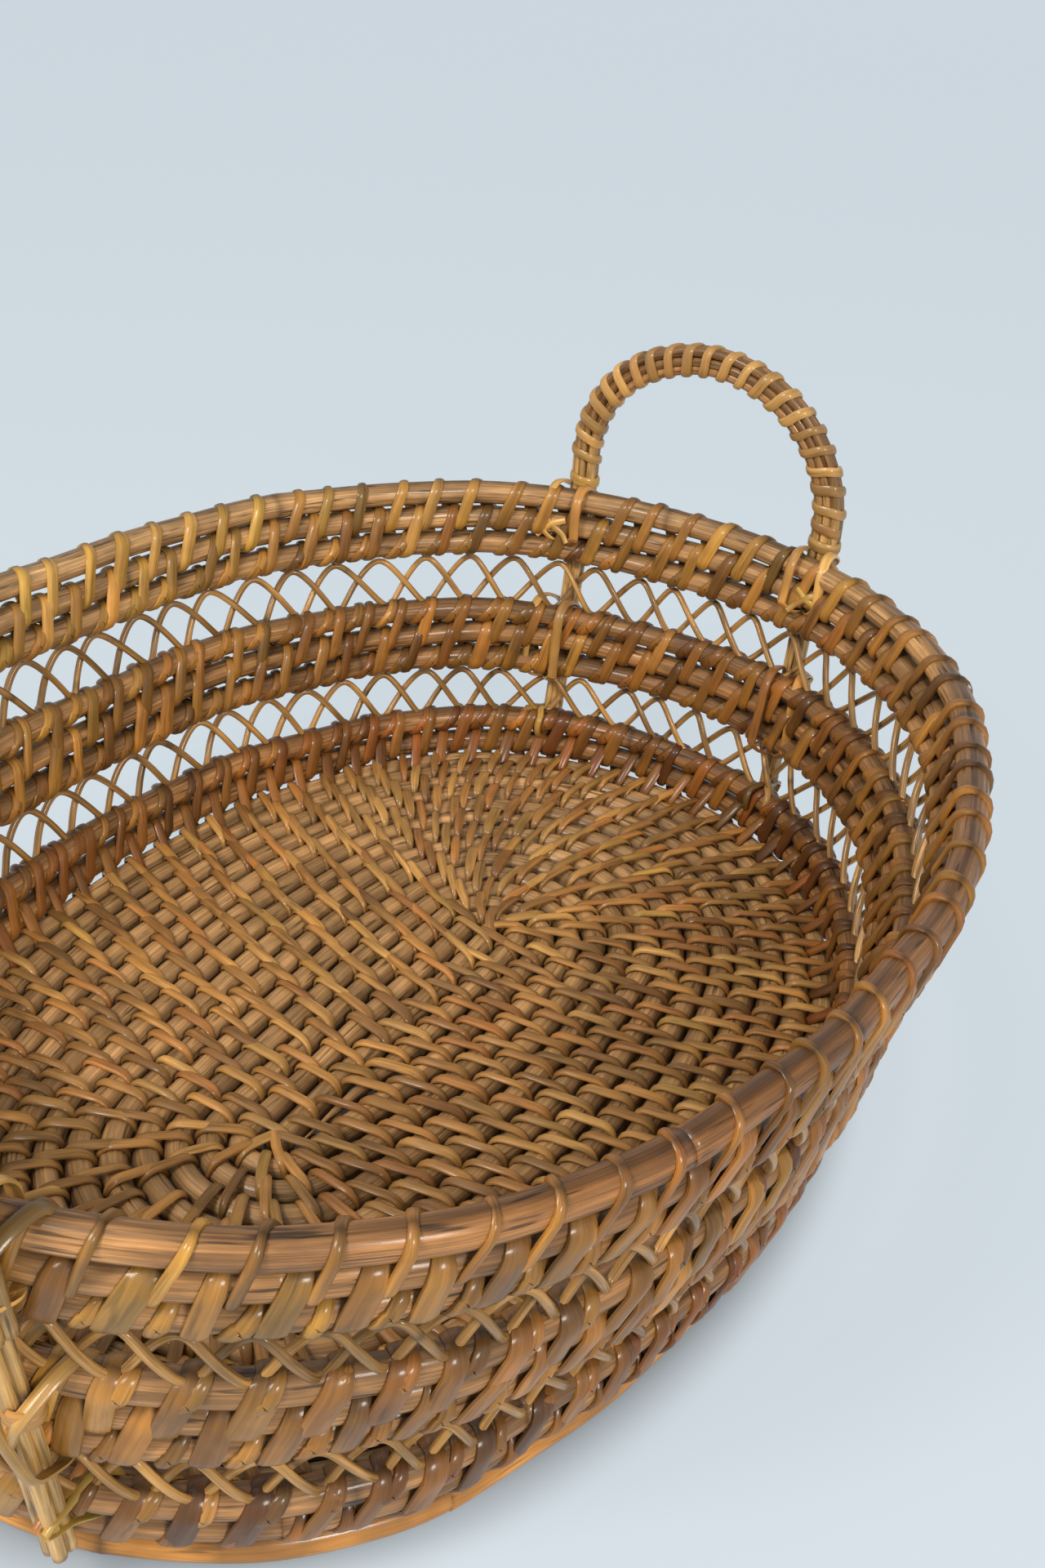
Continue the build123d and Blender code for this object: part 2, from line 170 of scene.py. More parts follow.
core_half, core_top = node_box("floor_core_rod")
CORE_HALF_LENGTH = core_half[0]
FLOOR_HEIGHT = core_top - core_half[2]
EDGE_HALF_LENGTH, EDGE_HALF_WIDTH = node_box("floor_coil")[0][:2] - FLOOR_ROD_RADIUS


def floor_oval(row):
    """One turn of the floor, counted in rows from the core rod."""
    share = row / FLOOR_TURNS
    half_length = CORE_HALF_LENGTH + (EDGE_HALF_LENGTH - CORE_HALF_LENGTH) * share
    half_width = EDGE_HALF_WIDTH * share
    roundness = END_ROUNDNESS_CORE + (END_ROUNDNESS_EDGE - END_ROUNDNESS_CORE) * share
    return Oval(half_length, half_width, FLOOR_HEIGHT, half_width * roundness)


# ---- meshes

# Uneven bends of the whole basket: how far each kind of wave moves it
BEND = 0.00045
RIPPLE = 0.00022
LIFT = 0.0004
LIFT_RIPPLE = 0.00025
LEAN = 0.0008
STEADY_HEIGHT = 0.03    # below this the bends fade towards the surface that it stands on


def warp(points):
    """Small uneven bends of the whole basket, in waves of unrelated lengths."""
    x, y, z = points.T
    rise = np.clip(z / STEADY_HEIGHT, 0, 1)
    along = BEND * np.sin(61 * x + 1.3) * np.cos(47 * y + 0.4) + RIPPLE * np.sin(171 * x + 126 * y)
    across = BEND * np.sin(53 * y + 2.2) * np.cos(67 * x + 1.9) + RIPPLE * np.sin(163 * y - 110 * x)
    lift = LIFT * np.sin(71 * x - 38 * y + 0.7) + LIFT_RIPPLE * np.sin(149 * x + 127 * y)
    lean = LEAN * np.sin(17 * x + 9 * y + 0.5)
    return np.stack([x + along, y + across + rise * lean, z + rise * lift * 0.9], -1)


def unit(vectors):
    """Vectors of length one."""
    return vectors / np.maximum(np.linalg.norm(vectors, axis=-1, keepdims=True), 1e-12)


def distances(points):
    """How far along a path each of its points is."""
    steps = np.linalg.norm(np.diff(points, axis=0), axis=1)
    return np.concatenate([[0], np.cumsum(steps)])


def along_path(points, side, closed):
    """Distance along a path, and its side directions made square to it."""
    tangent = np.roll(points, -1, 0) - np.roll(points, 1, 0) if closed else np.gradient(points, axis=0)
    tangent = unit(tangent)
    side = unit(side - tangent * (side * tangent).sum(-1, keepdims=True))
    return distances(points), tangent, side


def add_object(name, data):
    """A new object in the scene."""
    made = bpy.data.objects.new(name, data)
    bpy.context.scene.collection.objects.link(made)
    return made


class Weave:
    """Swept strips and rods that are joined into one object."""

    def __init__(self, turned=None):
        self.turned = turned
        self.crisp = False
        self.points, self.faces, self.grain, self.tint = [], [], [], []
        self.count = 0

    def add(self, rings, grain, tint, closed):
        """Rings of points along a path, shaped (rings, points in a ring, 3)."""
        length, around = rings.shape[:2]
        index = np.arange(length * around).reshape(length, around) + self.count
        following = np.roll(index, -1, 0) if closed else index[1:]
        current = index if closed else index[:-1]
        sides = [current, np.roll(current, -1, 1), np.roll(following, -1, 1), following]
        self.faces.append(np.stack(sides, -1).reshape(-1, 4))
        if not closed:
            half = around // 2
            for ring, flip in ((index[0], True), (index[-1], False)):
                left, right = ring[:half], ring[:half - 1:-1]
                cap = np.stack([left[:-1], left[1:], right[1:], right[:-1]], -1)
                self.faces.append(cap[:, ::-1] if flip else cap)
        self.points.append(rings.reshape(-1, 3))
        self.grain.append(grain.reshape(-1, 3))
        self.tint.append(np.broadcast_to(tint, rings.shape).reshape(-1, 3))
        self.count += length * around

    def build(self, name, material):
        """The object, with its grain and tint stored on its points."""
        points = warp(np.concatenate(self.points))
        if self.turned is not None:
            points = self.turned(points)
        points[:, 0] += CENTRE_X
        faces = np.concatenate(self.faces)
        mesh = bpy.data.meshes.new(name)
        mesh.vertices.add(len(points))
        mesh.vertices.foreach_set("co", points.ravel())
        mesh.loops.add(faces.size)
        mesh.loops.foreach_set("vertex_index", faces.ravel())
        mesh.polygons.add(len(faces))
        mesh.polygons.foreach_set("loop_start", np.arange(0, faces.size, 4))
        mesh.polygons.foreach_set("use_smooth", np.ones(len(faces), bool))
        mesh.update(calc_edges=True)
        mesh.validate()
        if self.crisp:
            mesh.set_sharp_from_angle(angle=math.radians(38))
        grain = mesh.attributes.new("grain", "FLOAT_VECTOR", "POINT")
        grain.data.foreach_set("vector", np.concatenate(self.grain).ravel())
        tint = mesh.attributes.new("tint", "FLOAT_COLOR", "POINT")
        colour = np.concatenate([np.concatenate(self.tint), np.ones((len(points), 1))], 1)
        tint.data.foreach_set("color", colour.ravel())
        mesh.materials.append(material)
        return add_object(name, mesh)


# How dark the painted shade is on a rod's sides towards its neighbours
CREVICE_PAINTED_SHADE = 0.62
FLAT_DEPTHS = (0.025, 0.012)        # of two and of three flats, as shares of the radius
RIDGE_DEPTHS = (0.008, 0.006)
JOINT_GAPS = (0.09, 0.2)            # between a rod's joints
JOINT_LENGTH = 0.0016
JOINT_SWELL = 0.05
GROOVE_OFFSET = 0.0012
GROOVE_LENGTH = 0.0009
GROOVE_SHADE = 0.55
JOINT_SHADE = 0.15
TONE_DRIFT = 0.08


def add_rod(weave, points, side, radius, colour, closed, taper=None, segments=20, crevice=None):
    """A round rod with joints, flats and fine ridges along its length.

    Painted shade darkens the rod towards the neighbouring rods, at the crevice angle from its side.
    """
    along, tangent, side = along_path(points, side, closed)
    other = np.cross(tangent, side)
    angle = np.arange(segments) / segments * FULL_TURN
    twist = random.uniform(0, FULL_TURN) + along[:, None] * random.uniform(-4, 4)
    round_share = (
        1 + FLAT_DEPTHS[0] * np.cos(2 * (angle + twist)) + FLAT_DEPTHS[1] * np.cos(3 * angle - twist))
    ridges = (
        RIDGE_DEPTHS[0] * np.sin(7 * angle + 5 * twist)
        + RIDGE_DEPTHS[1] * np.sin(11 * angle - 3 * twist))
    swell = np.zeros(len(points))
    shade = np.zeros(len(points))
    place = random.uniform(0.02, 0.12)
    while place < along[-1]:
        near = np.exp(-(((along - place) / JOINT_LENGTH) ** 2))
        groove = np.exp(-(((along - place - GROOVE_OFFSET) / GROOVE_LENGTH) ** 2))
        swell += JOINT_SWELL * near
        shade += GROOVE_SHADE * groove + JOINT_SHADE * near
        place += random.uniform(*JOINT_GAPS)
    size = radius * (round_share + ridges + swell[:, None])
    if taper is not None:
        size = size * taper[:, None]
    spokes = np.cos(angle)[None, :, None] * side[:, None] + np.sin(angle)[None, :, None] * other[:, None]
    rings = points[:, None] + spokes * size[..., None]
    seed = random.uniform(0, 9, 3)
    grain = np.stack(np.broadcast_arrays(
        np.cos(angle) * radius, np.sin(angle) * radius, along[:, None]), -1) + seed * 0.1
    drift = TONE_DRIFT * np.sin(along * random.uniform(9, 25) + random.uniform(0, 6))
    tone = np.clip(1 + drift - shade, 0.25, 1.3)[:, None, None] * colour
    # Painted shade in the crevices towards the neighbouring rods
    if crevice is not None:
        tone = tone * (1 - CREVICE_PAINTED_SHADE * np.cos(angle - crevice) ** 4)[:, None]
    weave.add(rings, grain, tone, closed)


# Sweeps of a peel strip: across its width and out from the rod that it lies on
PEEL_PROFILE = np.array([
    (-0.50, 0.00), (-0.48, 0.50), (-0.30, 0.88), (0.00, 1.00),
    (0.30, 0.88), (0.48, 0.50), (0.50, 0.00), (0.00, -0.05),
])


def add_strip(weave, points, out, width, thickness, colour, closed):
    """A flat-backed, round-faced strip whose back lies on the path."""
    weave.crisp = True
    along, tangent, out = along_path(points, out, closed)
    across = np.cross(tangent, out)
    width = np.broadcast_to(width, len(points))[:, None, None]
    thickness = np.broadcast_to(thickness, len(points))[:, None, None]
    rings = (
        points[:, None]
        + across[:, None] * PEEL_PROFILE[None, :, :1] * width
        + out[:, None] * PEEL_PROFILE[None, :, 1:] * thickness
    )
    seed = random.uniform(0, 0.9, 3)
    grain = np.stack(np.broadcast_arrays(
        PEEL_PROFILE[:, 0] * PEEL_WIDTH, np.zeros(len(PEEL_PROFILE)), along[:, None]), -1) + seed
    weave.add(rings, grain, np.asarray(colour), closed)


STRAIGHTNESS = 0.75
MIDDLE_SAG = 0.985      # how near the rods' faces the strip stays between them


def racetrack():
    """One turn of a strip round two rods, from the gap before the first one over their front.

    Each row has the share of the way to the second rod, the place across and out from there in
    rod radii, and the direction across and out that the strip faces.
    """
    stretches = [
        (0.0, np.linspace(180, 90, 5), 1.0),
        (0.5, [90], MIDDLE_SAG),
        (1.0, np.linspace(90, -90, 9), 1.0),
        (0.5, [-90], MIDDLE_SAG),
        (0.0, np.linspace(-90, -157.5, 4), 1.0),
    ]
    return np.array([
        (rod, math.cos(angle), sag * math.sin(angle), math.cos(angle), math.sin(angle))
        for rod, degrees, sag in stretches
        for angle in np.radians(degrees)
    ])


RODWARD, ACROSS, OUTWARD, FACE_ACROSS, FACE_OUT = racetrack().T
TRACK_STEPS = len(RODWARD)
FRONT_STEPS = 11
ON_FRONT = np.arange(TRACK_STEPS) < FRONT_STEPS
FRONT_SHARE = np.clip(np.arange(TRACK_STEPS) / (FRONT_STEPS - 1), 0, 1)
BACK_SHARE = np.clip(
    (np.arange(TRACK_STEPS) - (FRONT_STEPS - 1)) / (TRACK_STEPS - FRONT_STEPS + 1), 0, 1)
FRONT_ARCH = np.sin(math.pi * FRONT_SHARE)[:, None]
IN_GAP = np.abs(FACE_OUT) < 0.5


def track_eases(ratio):
    """How far each step has gone along the front and the back, so that both look straight."""
    rise = (RODWARD * ratio + ACROSS + 1) / (ratio + 2)
    front = np.where(ON_FRONT, rise, 1.0)
    back = np.where(ON_FRONT, 0.0, 1 - rise)
    linear = 1 - STRAIGHTNESS
    return STRAIGHTNESS * front + linear * FRONT_SHARE, STRAIGHTNESS * back + linear * BACK_SHARE


WINDING_CLEARANCE = 1.015       # of a strip's back from its rod, in rod radii
GAP_THINNING = 0.8
# Painted shade: strips are painted darker where they pass between two rods
GAP_PAINTED_SHADE = 0.28                # brightness where a strip passes between two rods


def add_winding(
    weave, frame_at, starts, front_advance, rod_radius, colours, closed,
    width=1.0, thickness=PEEL_THICKNESS, pointed=0.3, arch=0.0, single=False,
):
    """A strip wound round two rods: each turn starts at its own place along them."""
    count = len(starts) - 1
    pitch = np.diff(starts)[:, None]
    front = np.broadcast_to(front_advance, count)[:, None]
    front_ease, back_ease = track_eases(0.0 if single else ROD_PITCH / ROD_RADIUS)
    place = starts[:-1, None] + front * front_ease + (pitch - front) * back_ease
    first, second, face = frame_at(place)
    spacing = second - first
    across = unit(spacing + 1e-9)
    radius = rod_radius * WINDING_CLEARANCE
    points = (
        first
        + spacing * RODWARD[:, None]
        + across * ACROSS[:, None] * radius
        + face * (OUTWARD[:, None] + arch * FRONT_ARCH) * radius
    )
    out = across * FACE_ACROSS[:, None] + face * FACE_OUT[:, None]
    widths = PEEL_WIDTH * width * random.normal(1.0, 0.10, (count, 1)).clip(0.72, 1.28)
    depths = thickness * random.normal(1.0, 0.12, (count, 1)).clip(0.7, 1.3)
    widths = widths * (1 - pointed + pointed * np.abs(FACE_OUT))
    depths = depths * np.where(IN_GAP, GAP_THINNING, 1.0)
    # Painted shade where the strip dips into the gap between the rods
    shade = GAP_PAINTED_SHADE + (1 - GAP_PAINTED_SHADE) * np.abs(FACE_OUT) ** 0.6
    colour = (colours[:count, None] * shade[:, None]).reshape(-1, 1, 3)
    add_strip(
        weave, points.reshape(-1, 3), out.reshape(-1, 3),
        widths.ravel(), depths.ravel(), colour, closed,
    )


# ---- colours

ROD_COLOUR = np.array([0.520, 0.290, 0.118])
FLOOR_ROD_COLOUR = np.array([0.450, 0.250, 0.100])
FOOT_COLOUR = np.array([0.900, 0.430, 0.090])
CANE_COLOUR = np.array([0.400, 0.205, 0.055])
POST_COLOUR = np.array([0.500, 0.290, 0.095])
LOOP_ROD_COLOUR = np.array([0.270, 0.130, 0.042])
PEEL_COLOURS = np.array([
    (0.430, 0.195, 0.042),      # tan
    (0.580, 0.320, 0.085),      # pale tan
    (0.320, 0.185, 0.033),      # olive
    (0.500, 0.300, 0.052),      # yellow
    (0.370, 0.120, 0.022),      # red brown
    (0.130, 0.052, 0.017),      # dark brown
])
FLOOR_PEEL_COLOUR = np.array([0.340, 0.170, 0.048])
LOOP_PEEL_COLOUR = np.array([0.320, 0.170, 0.052])
YELLOW_TREND = np.array([0.540, 0.320, 0.060])
RED_TREND = np.array([0.330, 0.122, 0.023])
WALL_SHARES = np.array([0.38, 0.19, 0.15, 0.12, 0.12, 0.04])
BASE_SHARES = np.array([0.42, 0.12, 0.06, 0.06, 0.29, 0.05])
FLOOR_SHARES = np.array([0.46, 0.22, 0.03, 0.02, 0.20, 0.07])
HANDLE_SHARES = np.array([0.30, 0.50, 0.04, 0.15, 0.01, 0.00])


def peel_colours(count, shares, yellow=None, run=0.35):
    """A colour for each turn of a strip: runs of one colour, each turn a little different."""
    odds = shares / shares.sum()
    kinds = random.choice(len(PEEL_COLOURS), count, p=odds)
    keep = random.random(count) < run
    for index in range(1, count):
        if keep[index]:
            kinds[index] = kinds[index - 1]
    blend = random.choice(len(PEEL_COLOURS), count, p=odds)
    mix = random.uniform(0, 0.6, (count, 1))
    colour = PEEL_COLOURS[kinds] * (1 - mix) + PEEL_COLOURS[blend] * mix
    if yellow is not None:
        pull = random.uniform(0.25, 0.75, (count, 1))
        trend = YELLOW_TREND * yellow[:, None] + RED_TREND * (1 - yellow[:, None])
        colour = colour * (1 - pull) + trend * pull
    return colour * random.normal(1.0, 0.24, (count, 1)).clip(0.45, 1.55)


def yellowness(turns, level):
    """How far the peel tends to yellow, for clockwise turns round the wall and a level up it."""
    side = 0.5 + 0.5 * np.cos(FULL_TURN * (turns - 0.55))
    return np.clip(0.15 + 0.65 * side * level + 0.15 * level, 0, 1)


def painted_light_and_shade(turns, level):
    """How pale the rattan is painted, for clockwise turns round the wall and a level up it: painted light
    makes it paler higher up and towards the left end, and painted shade darkens the near side near the
    top.

    Darker rattan is also redder.
    """
    side = 0.5 + 0.5 * np.cos(FULL_TURN * (turns - 0.55))
    near = np.clip(np.cos(FULL_TURN * (turns - 0.33)), 0, 1)
    pale = (0.74 + 0.26 * side) * (0.63 + 0.57 * level**2.5) * (1 - 0.62 * near * level**2.5)
    return np.power.outer(pale, np.array([0.8, 1.1, 1.5]))


# ---- wall

RIM_HEIGHT = 0.09
RING_STEPS = 480
ROW_ADVANCE = 0.5       # of a stitch across the rods' front, as a share of the row's pitch
ROW_WIDTH = 1.1
WRAP_ADVANCE = 0.55
EDGE_ADVANCE = 0.4
NEAR_TURN = 0.36        # where the strips' widths change most, in turns clockwise
NEAR_NARROWING = {"rim_upper_stitches": 0.38}
OTHER_NARROWING = -0.45


def ring_rod(weave, oval, radius, colour):
    """One wall rod all the way round, with a butt joint at the nearest corner."""
    turns = np.linspace(0, 1, RING_STEPS + 1) + random.uniform(0.55, 0.68)
    point, _, normal = oval.frames(turns)
    # Painted light and shade by the rod's place round and up the wall
    pale = painted_light_and_shade(-turns, oval.height / RIM_HEIGHT)[:, None]
    add_rod(weave, point, normal, radius, colour * pale, closed=False, crevice=math.pi / 2)


def wall_colours(shares, turns, level):
    """A colour for each turn of a wall strip, with painted light and shade by its place."""
    colours = peel_colours(WALL_STITCHES, shares, yellowness(turns, level))
    return colours * painted_light_and_shade(turns, level)


def winding_frame(first_oval, second_oval):
    """Where the two rods of a wall row are, for places counted in turns clockwise."""
    def frame_at(place):
        first, tangent, normal = first_oval.frames(-place)
        if second_oval is first_oval:
            return first, first, -normal
        second = second_oval.frames(-place)[0]
        rise = unit(second - first)
        face = unit(np.cross(rise, tangent))
        inward = np.where((face * normal).sum(-1, keepdims=True) < 0, 1.0, -1.0)
        return first, second, face * inward
    return frame_at


def uneven_starts(even, spread):
    """Where a closed row's turns start, a little off their even places."""
    starts = even + random.normal(0, spread, WALL_STITCHES) / WALL_STITCHES
    return np.append(starts, starts[0] + 1)


def wall_row(weave, first_oval, second_oval, phase, shares, narrowing):
    """One row of the wall's binding. Seen from inside it slants up to the right."""
    even = (np.arange(WALL_STITCHES) + phase) / WALL_STITCHES
    starts = uneven_starts(even, 0.07)
    advance = ROW_ADVANCE / WALL_STITCHES * random.normal(1.0, 0.16, WALL_STITCHES)
    colours = wall_colours(shares, even, first_oval.height / RIM_HEIGHT)
    near = np.clip(np.cos(FULL_TURN * (even - NEAR_TURN)), 0, 1)[:, None]
    add_winding(
        weave, winding_frame(first_oval, second_oval), starts, advance,
        ROD_RADIUS, colours, closed=True, width=ROW_WIDTH * (1 - narrowing * near),
    )


def single_wraps(weave, oval, phase, shares):
    """Wraps round one rod, between its stitches."""
    even = (np.arange(WALL_STITCHES) + phase) / WALL_STITCHES
    starts = uneven_starts(even, 0.05)
    flat_frame = winding_frame(oval, oval)

    def frame_at(place):
        first, second, face = flat_frame(place)
        return first, first + np.array([0, 0, 1e-5]), face
    colours = wall_colours(shares, even, oval.height / RIM_HEIGHT)
    add_winding(
        weave, frame_at, starts, WRAP_ADVANCE / WALL_STITCHES, ROD_RADIUS, colours,
        closed=True, single=True,
    )


# ---- floor

def coil_step(turn):
    """How far the coil has moved out to its next row: only in the third quarter of a turn."""
    share = np.clip((np.mod(turn, 1.0) - 0.5) * 4, 0, 1)
    return share * share * (3 - 2 * share)


def floor_places(row, clockwise):
    """Turn and row of places on one row's path, clockwise in metres from the middle of +Y."""
    perimeter = floor_oval(row).perimeter
    turn = 0.25 - clockwise / perimeter
    in_step = (turn < -0.25)
    outer_row = np.where(in_step, row - 1 + coil_step(turn), float(row))
    return turn, outer_row


def floor_frame(row):
    """Where the two rods of a floor row are, for places in metres clockwise."""
    def frame_at(place):
        turn, rows = floor_places(row, place)
        first = np.empty(place.shape + (3,))
        second = np.empty(place.shape + (3,))
        for outer_row in np.unique(rows):
            chosen = rows == outer_row
            point, _, normal = floor_oval(max(outer_row, 0.4)).frames(turn[chosen])
            if outer_row <= 1.0:
                inner = point.copy()
                inner[:, 0] = np.clip(point[:, 0], -CORE_HALF_LENGTH, CORE_HALF_LENGTH)
                inner[:, 1] = 0
            else:
                inner = floor_oval(outer_row - 1).inward(point, normal)
            first[chosen] = inner
            second[chosen] = point
        return first, second, np.broadcast_to(np.array([0.0, 0.0, 1.0]), first.shape)
    return frame_at


def floor_slant(turn):
    """How far a floor stitch leans clockwise on its way out, in metres."""
    angle = FULL_TURN * turn
    return 0.0007 + 0.0034 * np.sin(angle) + 0.0031 * np.cos(angle)


def floor_row(weave, row):
    """The binding of one row of the floor to the row inside it."""
    oval = floor_oval(row)
    pitch = (oval.perimeter / 2) / max(round(oval.perimeter / 2 / FLOOR_STITCH_PITCH), 1)
    first = math.ceil(-oval.quarter / pitch)
    last = math.floor((2.6 if row == 1 else 3) * oval.quarter / pitch)
    order = np.arange(first, last + 1)
    starts = order * pitch + row * FLOOR_ROW_SHIFT
    starts = starts + random.normal(0, 0.05 * pitch, len(starts))
    turn, _ = floor_places(row, starts)
    slant = floor_slant(turn)[:-1] * random.normal(1, 0.15, len(starts) - 1)
    colours = (peel_colours(len(starts), FLOOR_SHARES) + FLOOR_PEEL_COLOUR) / 2
    add_winding(
        weave, floor_frame(row), starts, slant, FLOOR_ROD_RADIUS,
        colours, closed=False, width=0.82, thickness=FLOOR_PEEL_THICKNESS,
        pointed=0.6, arch=0.26,
    )


def coil_path():
    """The floor's spiral, with thinned ends that lie along the neighbouring turn."""
    tail = 0.2
    turns = np.arange(-0.25 - tail, FLOOR_TURNS - 0.5 + tail, 1 / 200)
    rows = 1 + np.floor(turns) + coil_step(turns)
    start_share = np.clip((-0.25 - turns) / tail, 0, 1)
    rows = np.where(turns < -0.25, 1.0 - 0.45 * start_share, rows)
    end_share = np.clip((turns - FLOOR_TURNS + 0.5) / tail, 0, 1)
    beside = FLOOR_TURNS + coil_step(turns) - 0.44 * end_share
    rows = np.where(end_share > 0, beside, rows)
    frames = [floor_oval(row).frames(turn) for turn, row in zip(turns, rows)]
    from_start = (turns - turns[0]) / tail
    from_end = (turns[-1] - turns) / tail
    taper = np.clip(np.minimum(from_start, from_end), 0.12, 1.0)
    points = np.array([point for point, _, _ in frames])
    sides = np.array([normal for _, _, normal in frames])
    return points, sides, taper


# ---- lattice

def cane(weave, low_oval, high_oval, wave):
    """One cane in arches all round a tier: up outside the other cane, and down inside it."""
    steps = np.arange(LATTICE_ARCHES * LATTICE_STEPS) / LATTICE_STEPS
    knots = np.arange(LATTICE_ARCHES + 1)
    uneven = knots + random.normal(0, 0.085, LATTICE_ARCHES + 1)
    uneven[-1] = uneven[0] + LATTICE_ARCHES
    turn = np.interp(steps, knots, uneven) / LATTICE_ARCHES
    crowded = FULL_TURN * (turn - LATTICE_CROWDED_TURN)
    turn = turn - LATTICE_CROWDING / FULL_TURN * np.sin(crowded)
    leg = np.mod(steps + wave, 2) - 1
    lift = 1 - np.abs(leg) ** ARCH_ROUNDNESS
    low, _, normal = low_oval.frames(-turn)
    high = high_oval.frames(-turn)[0]
    top = high - np.array([0, 0, 0.9 * (ROD_RADIUS + CANE_RADIUS)])
    points = low + (top - low) * lift[:, None]
    out = LATTICE_OUTSET - LATTICE_BULGE * np.sin(math.pi * leg)
    points = points + normal * out[:, None]
    for _ in range(ARCH_SMOOTHING):
        points = points / 2 + (np.roll(points, 1, 0) + np.roll(points, -1, 0)) / 4
    colour = CANE_COLOUR * random.uniform(0.9, 1.1)
    add_rod(weave, points, normal, CANE_RADIUS, colour, closed=True, segments=8)


def lattice(weave, low_oval, high_oval):
    """A tier's two canes, one arch apart."""
    for wave in (0, 1):
        cane(weave, low_oval, high_oval, wave)


# ---- handles

HANDLE_ROD_RADIUS = 0.00136
HANDLE_ROD_SPACING = 0.00245
HANDLE_WRAP_PITCH = 0.0056
HANDLE_PEEL_THICKNESS = 0.0008
HANDLE_WRAP_START = 0.0085     # above the rim rod's centre
HANDLE_OUTSET = 0.0078         # of the posts from the wall rods
HANDLE_LEAN = 0.1
NECK_HEIGHT = 0.005
NECK_SOFTNESS = 0.0035
POST_TIE_HEIGHT = 0.055
LOOP_DARKENING = 0.02          # height over which the rods darken above the neck
post_low, post_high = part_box("right_handle_outer_rods")
POST_BOTTOM = post_low.z + 0.004
BUNDLE_MARGIN = 0.00345        # from the bundle's middle to its outside, in the frame
LOOP_HALF_SPAN = post_high.y - BUNDLE_MARGIN
LOOP_TOP = post_high.z - BUNDLE_MARGIN
SHORT_ROD_TAIL = 0.022
ROD_SWAY = 0.0002
WRAP_STEPS = 22
WRAP_CLEARANCE = 0.0002
WRAP_SQUARENESS = 0.6          # the power that flattens the wrap's round turns
POST_HALF_DEPTH = HANDLE_ROD_SPACING / 2 + HANDLE_ROD_RADIUS + 0.0004
LASHING_GAP = 0.0012           # between a lashing and the rods that it goes round


def end_reach(oval, y):
    """How far out the +X end of an oval is, at one y."""
    return oval.end_centre + math.sqrt(oval.end_radius**2 - y**2)


class Handle:
    """One handle's line: up a post, over the loop and down the other post."""

    def __init__(self, side, base_oval, rim_oval):
        self.side = side
        low = end_reach(base_oval, LOOP_HALF_SPAN) + HANDLE_OUTSET
        high = end_reach(rim_oval, LOOP_HALF_SPAN) + HANDLE_OUTSET
        self.slope = (high - low) / (rim_oval.height - base_oval.height)
        self.neck_z = rim_oval.height + NECK_HEIGHT
        self.neck_x = high + self.slope * NECK_HEIGHT
        self.centre_z = LOOP_TOP - LOOP_HALF_SPAN

    def x_at(self, z):
        """The leaning posts turn smoothly up into the loop, which leans the other way."""
        rise = z - self.neck_z
        turn = self.slope + HANDLE_LEAN
        bend = NECK_SOFTNESS * np.logaddexp(0, rise / NECK_SOFTNESS)
        return self.neck_x + self.slope * rise - turn * bend

    def line(self, in_loop, depth, start_z, end_z, spacing=0.0018):
        """Points and outward directions along a rod beside the handle's middle line."""
        half_span = LOOP_HALF_SPAN + in_loop
        up = np.arange(start_z, self.centre_z, spacing)
        down = np.arange(end_z, self.centre_z, spacing)[::-1]
        over = np.arange(0, math.pi, spacing / half_span)
        angle = np.concatenate([np.zeros(len(up)), over, np.full(len(down), math.pi)])
        z = np.concatenate([up, self.centre_z + half_span * np.sin(over), down])
        x = self.side * (self.x_at(z) + depth)
        out = np.stack([np.zeros(len(z)), np.cos(angle), np.sin(angle)], -1)
        return np.stack([x, half_span * np.cos(angle), z], -1), out


def handle_rods(weave, handle, depth):
    """Three of a handle's rods. One ends behind the rim, and the others go on down."""
    for across in (-1, 0, 1):
        low = handle.neck_z - SHORT_ROD_TAIL if across == 1 else POST_BOTTOM
        points, out = handle.line(across * HANDLE_ROD_SPACING, depth, low, low)
        sway = np.sin(np.linspace(0, random.uniform(9, 16), len(points)) + random.uniform(0, 6))
        points = points + out * (sway * ROD_SWAY)[:, None]
        above = np.clip((points[:, 2] - handle.neck_z) / LOOP_DARKENING, 0, 1)[:, None, None]
        shade = POST_COLOUR + (LOOP_ROD_COLOUR - POST_COLOUR) * above
        shade = shade * random.uniform(0.85, 1.15)
        add_rod(weave, points, out, HANDLE_ROD_RADIUS, shade, closed=False, segments=12)


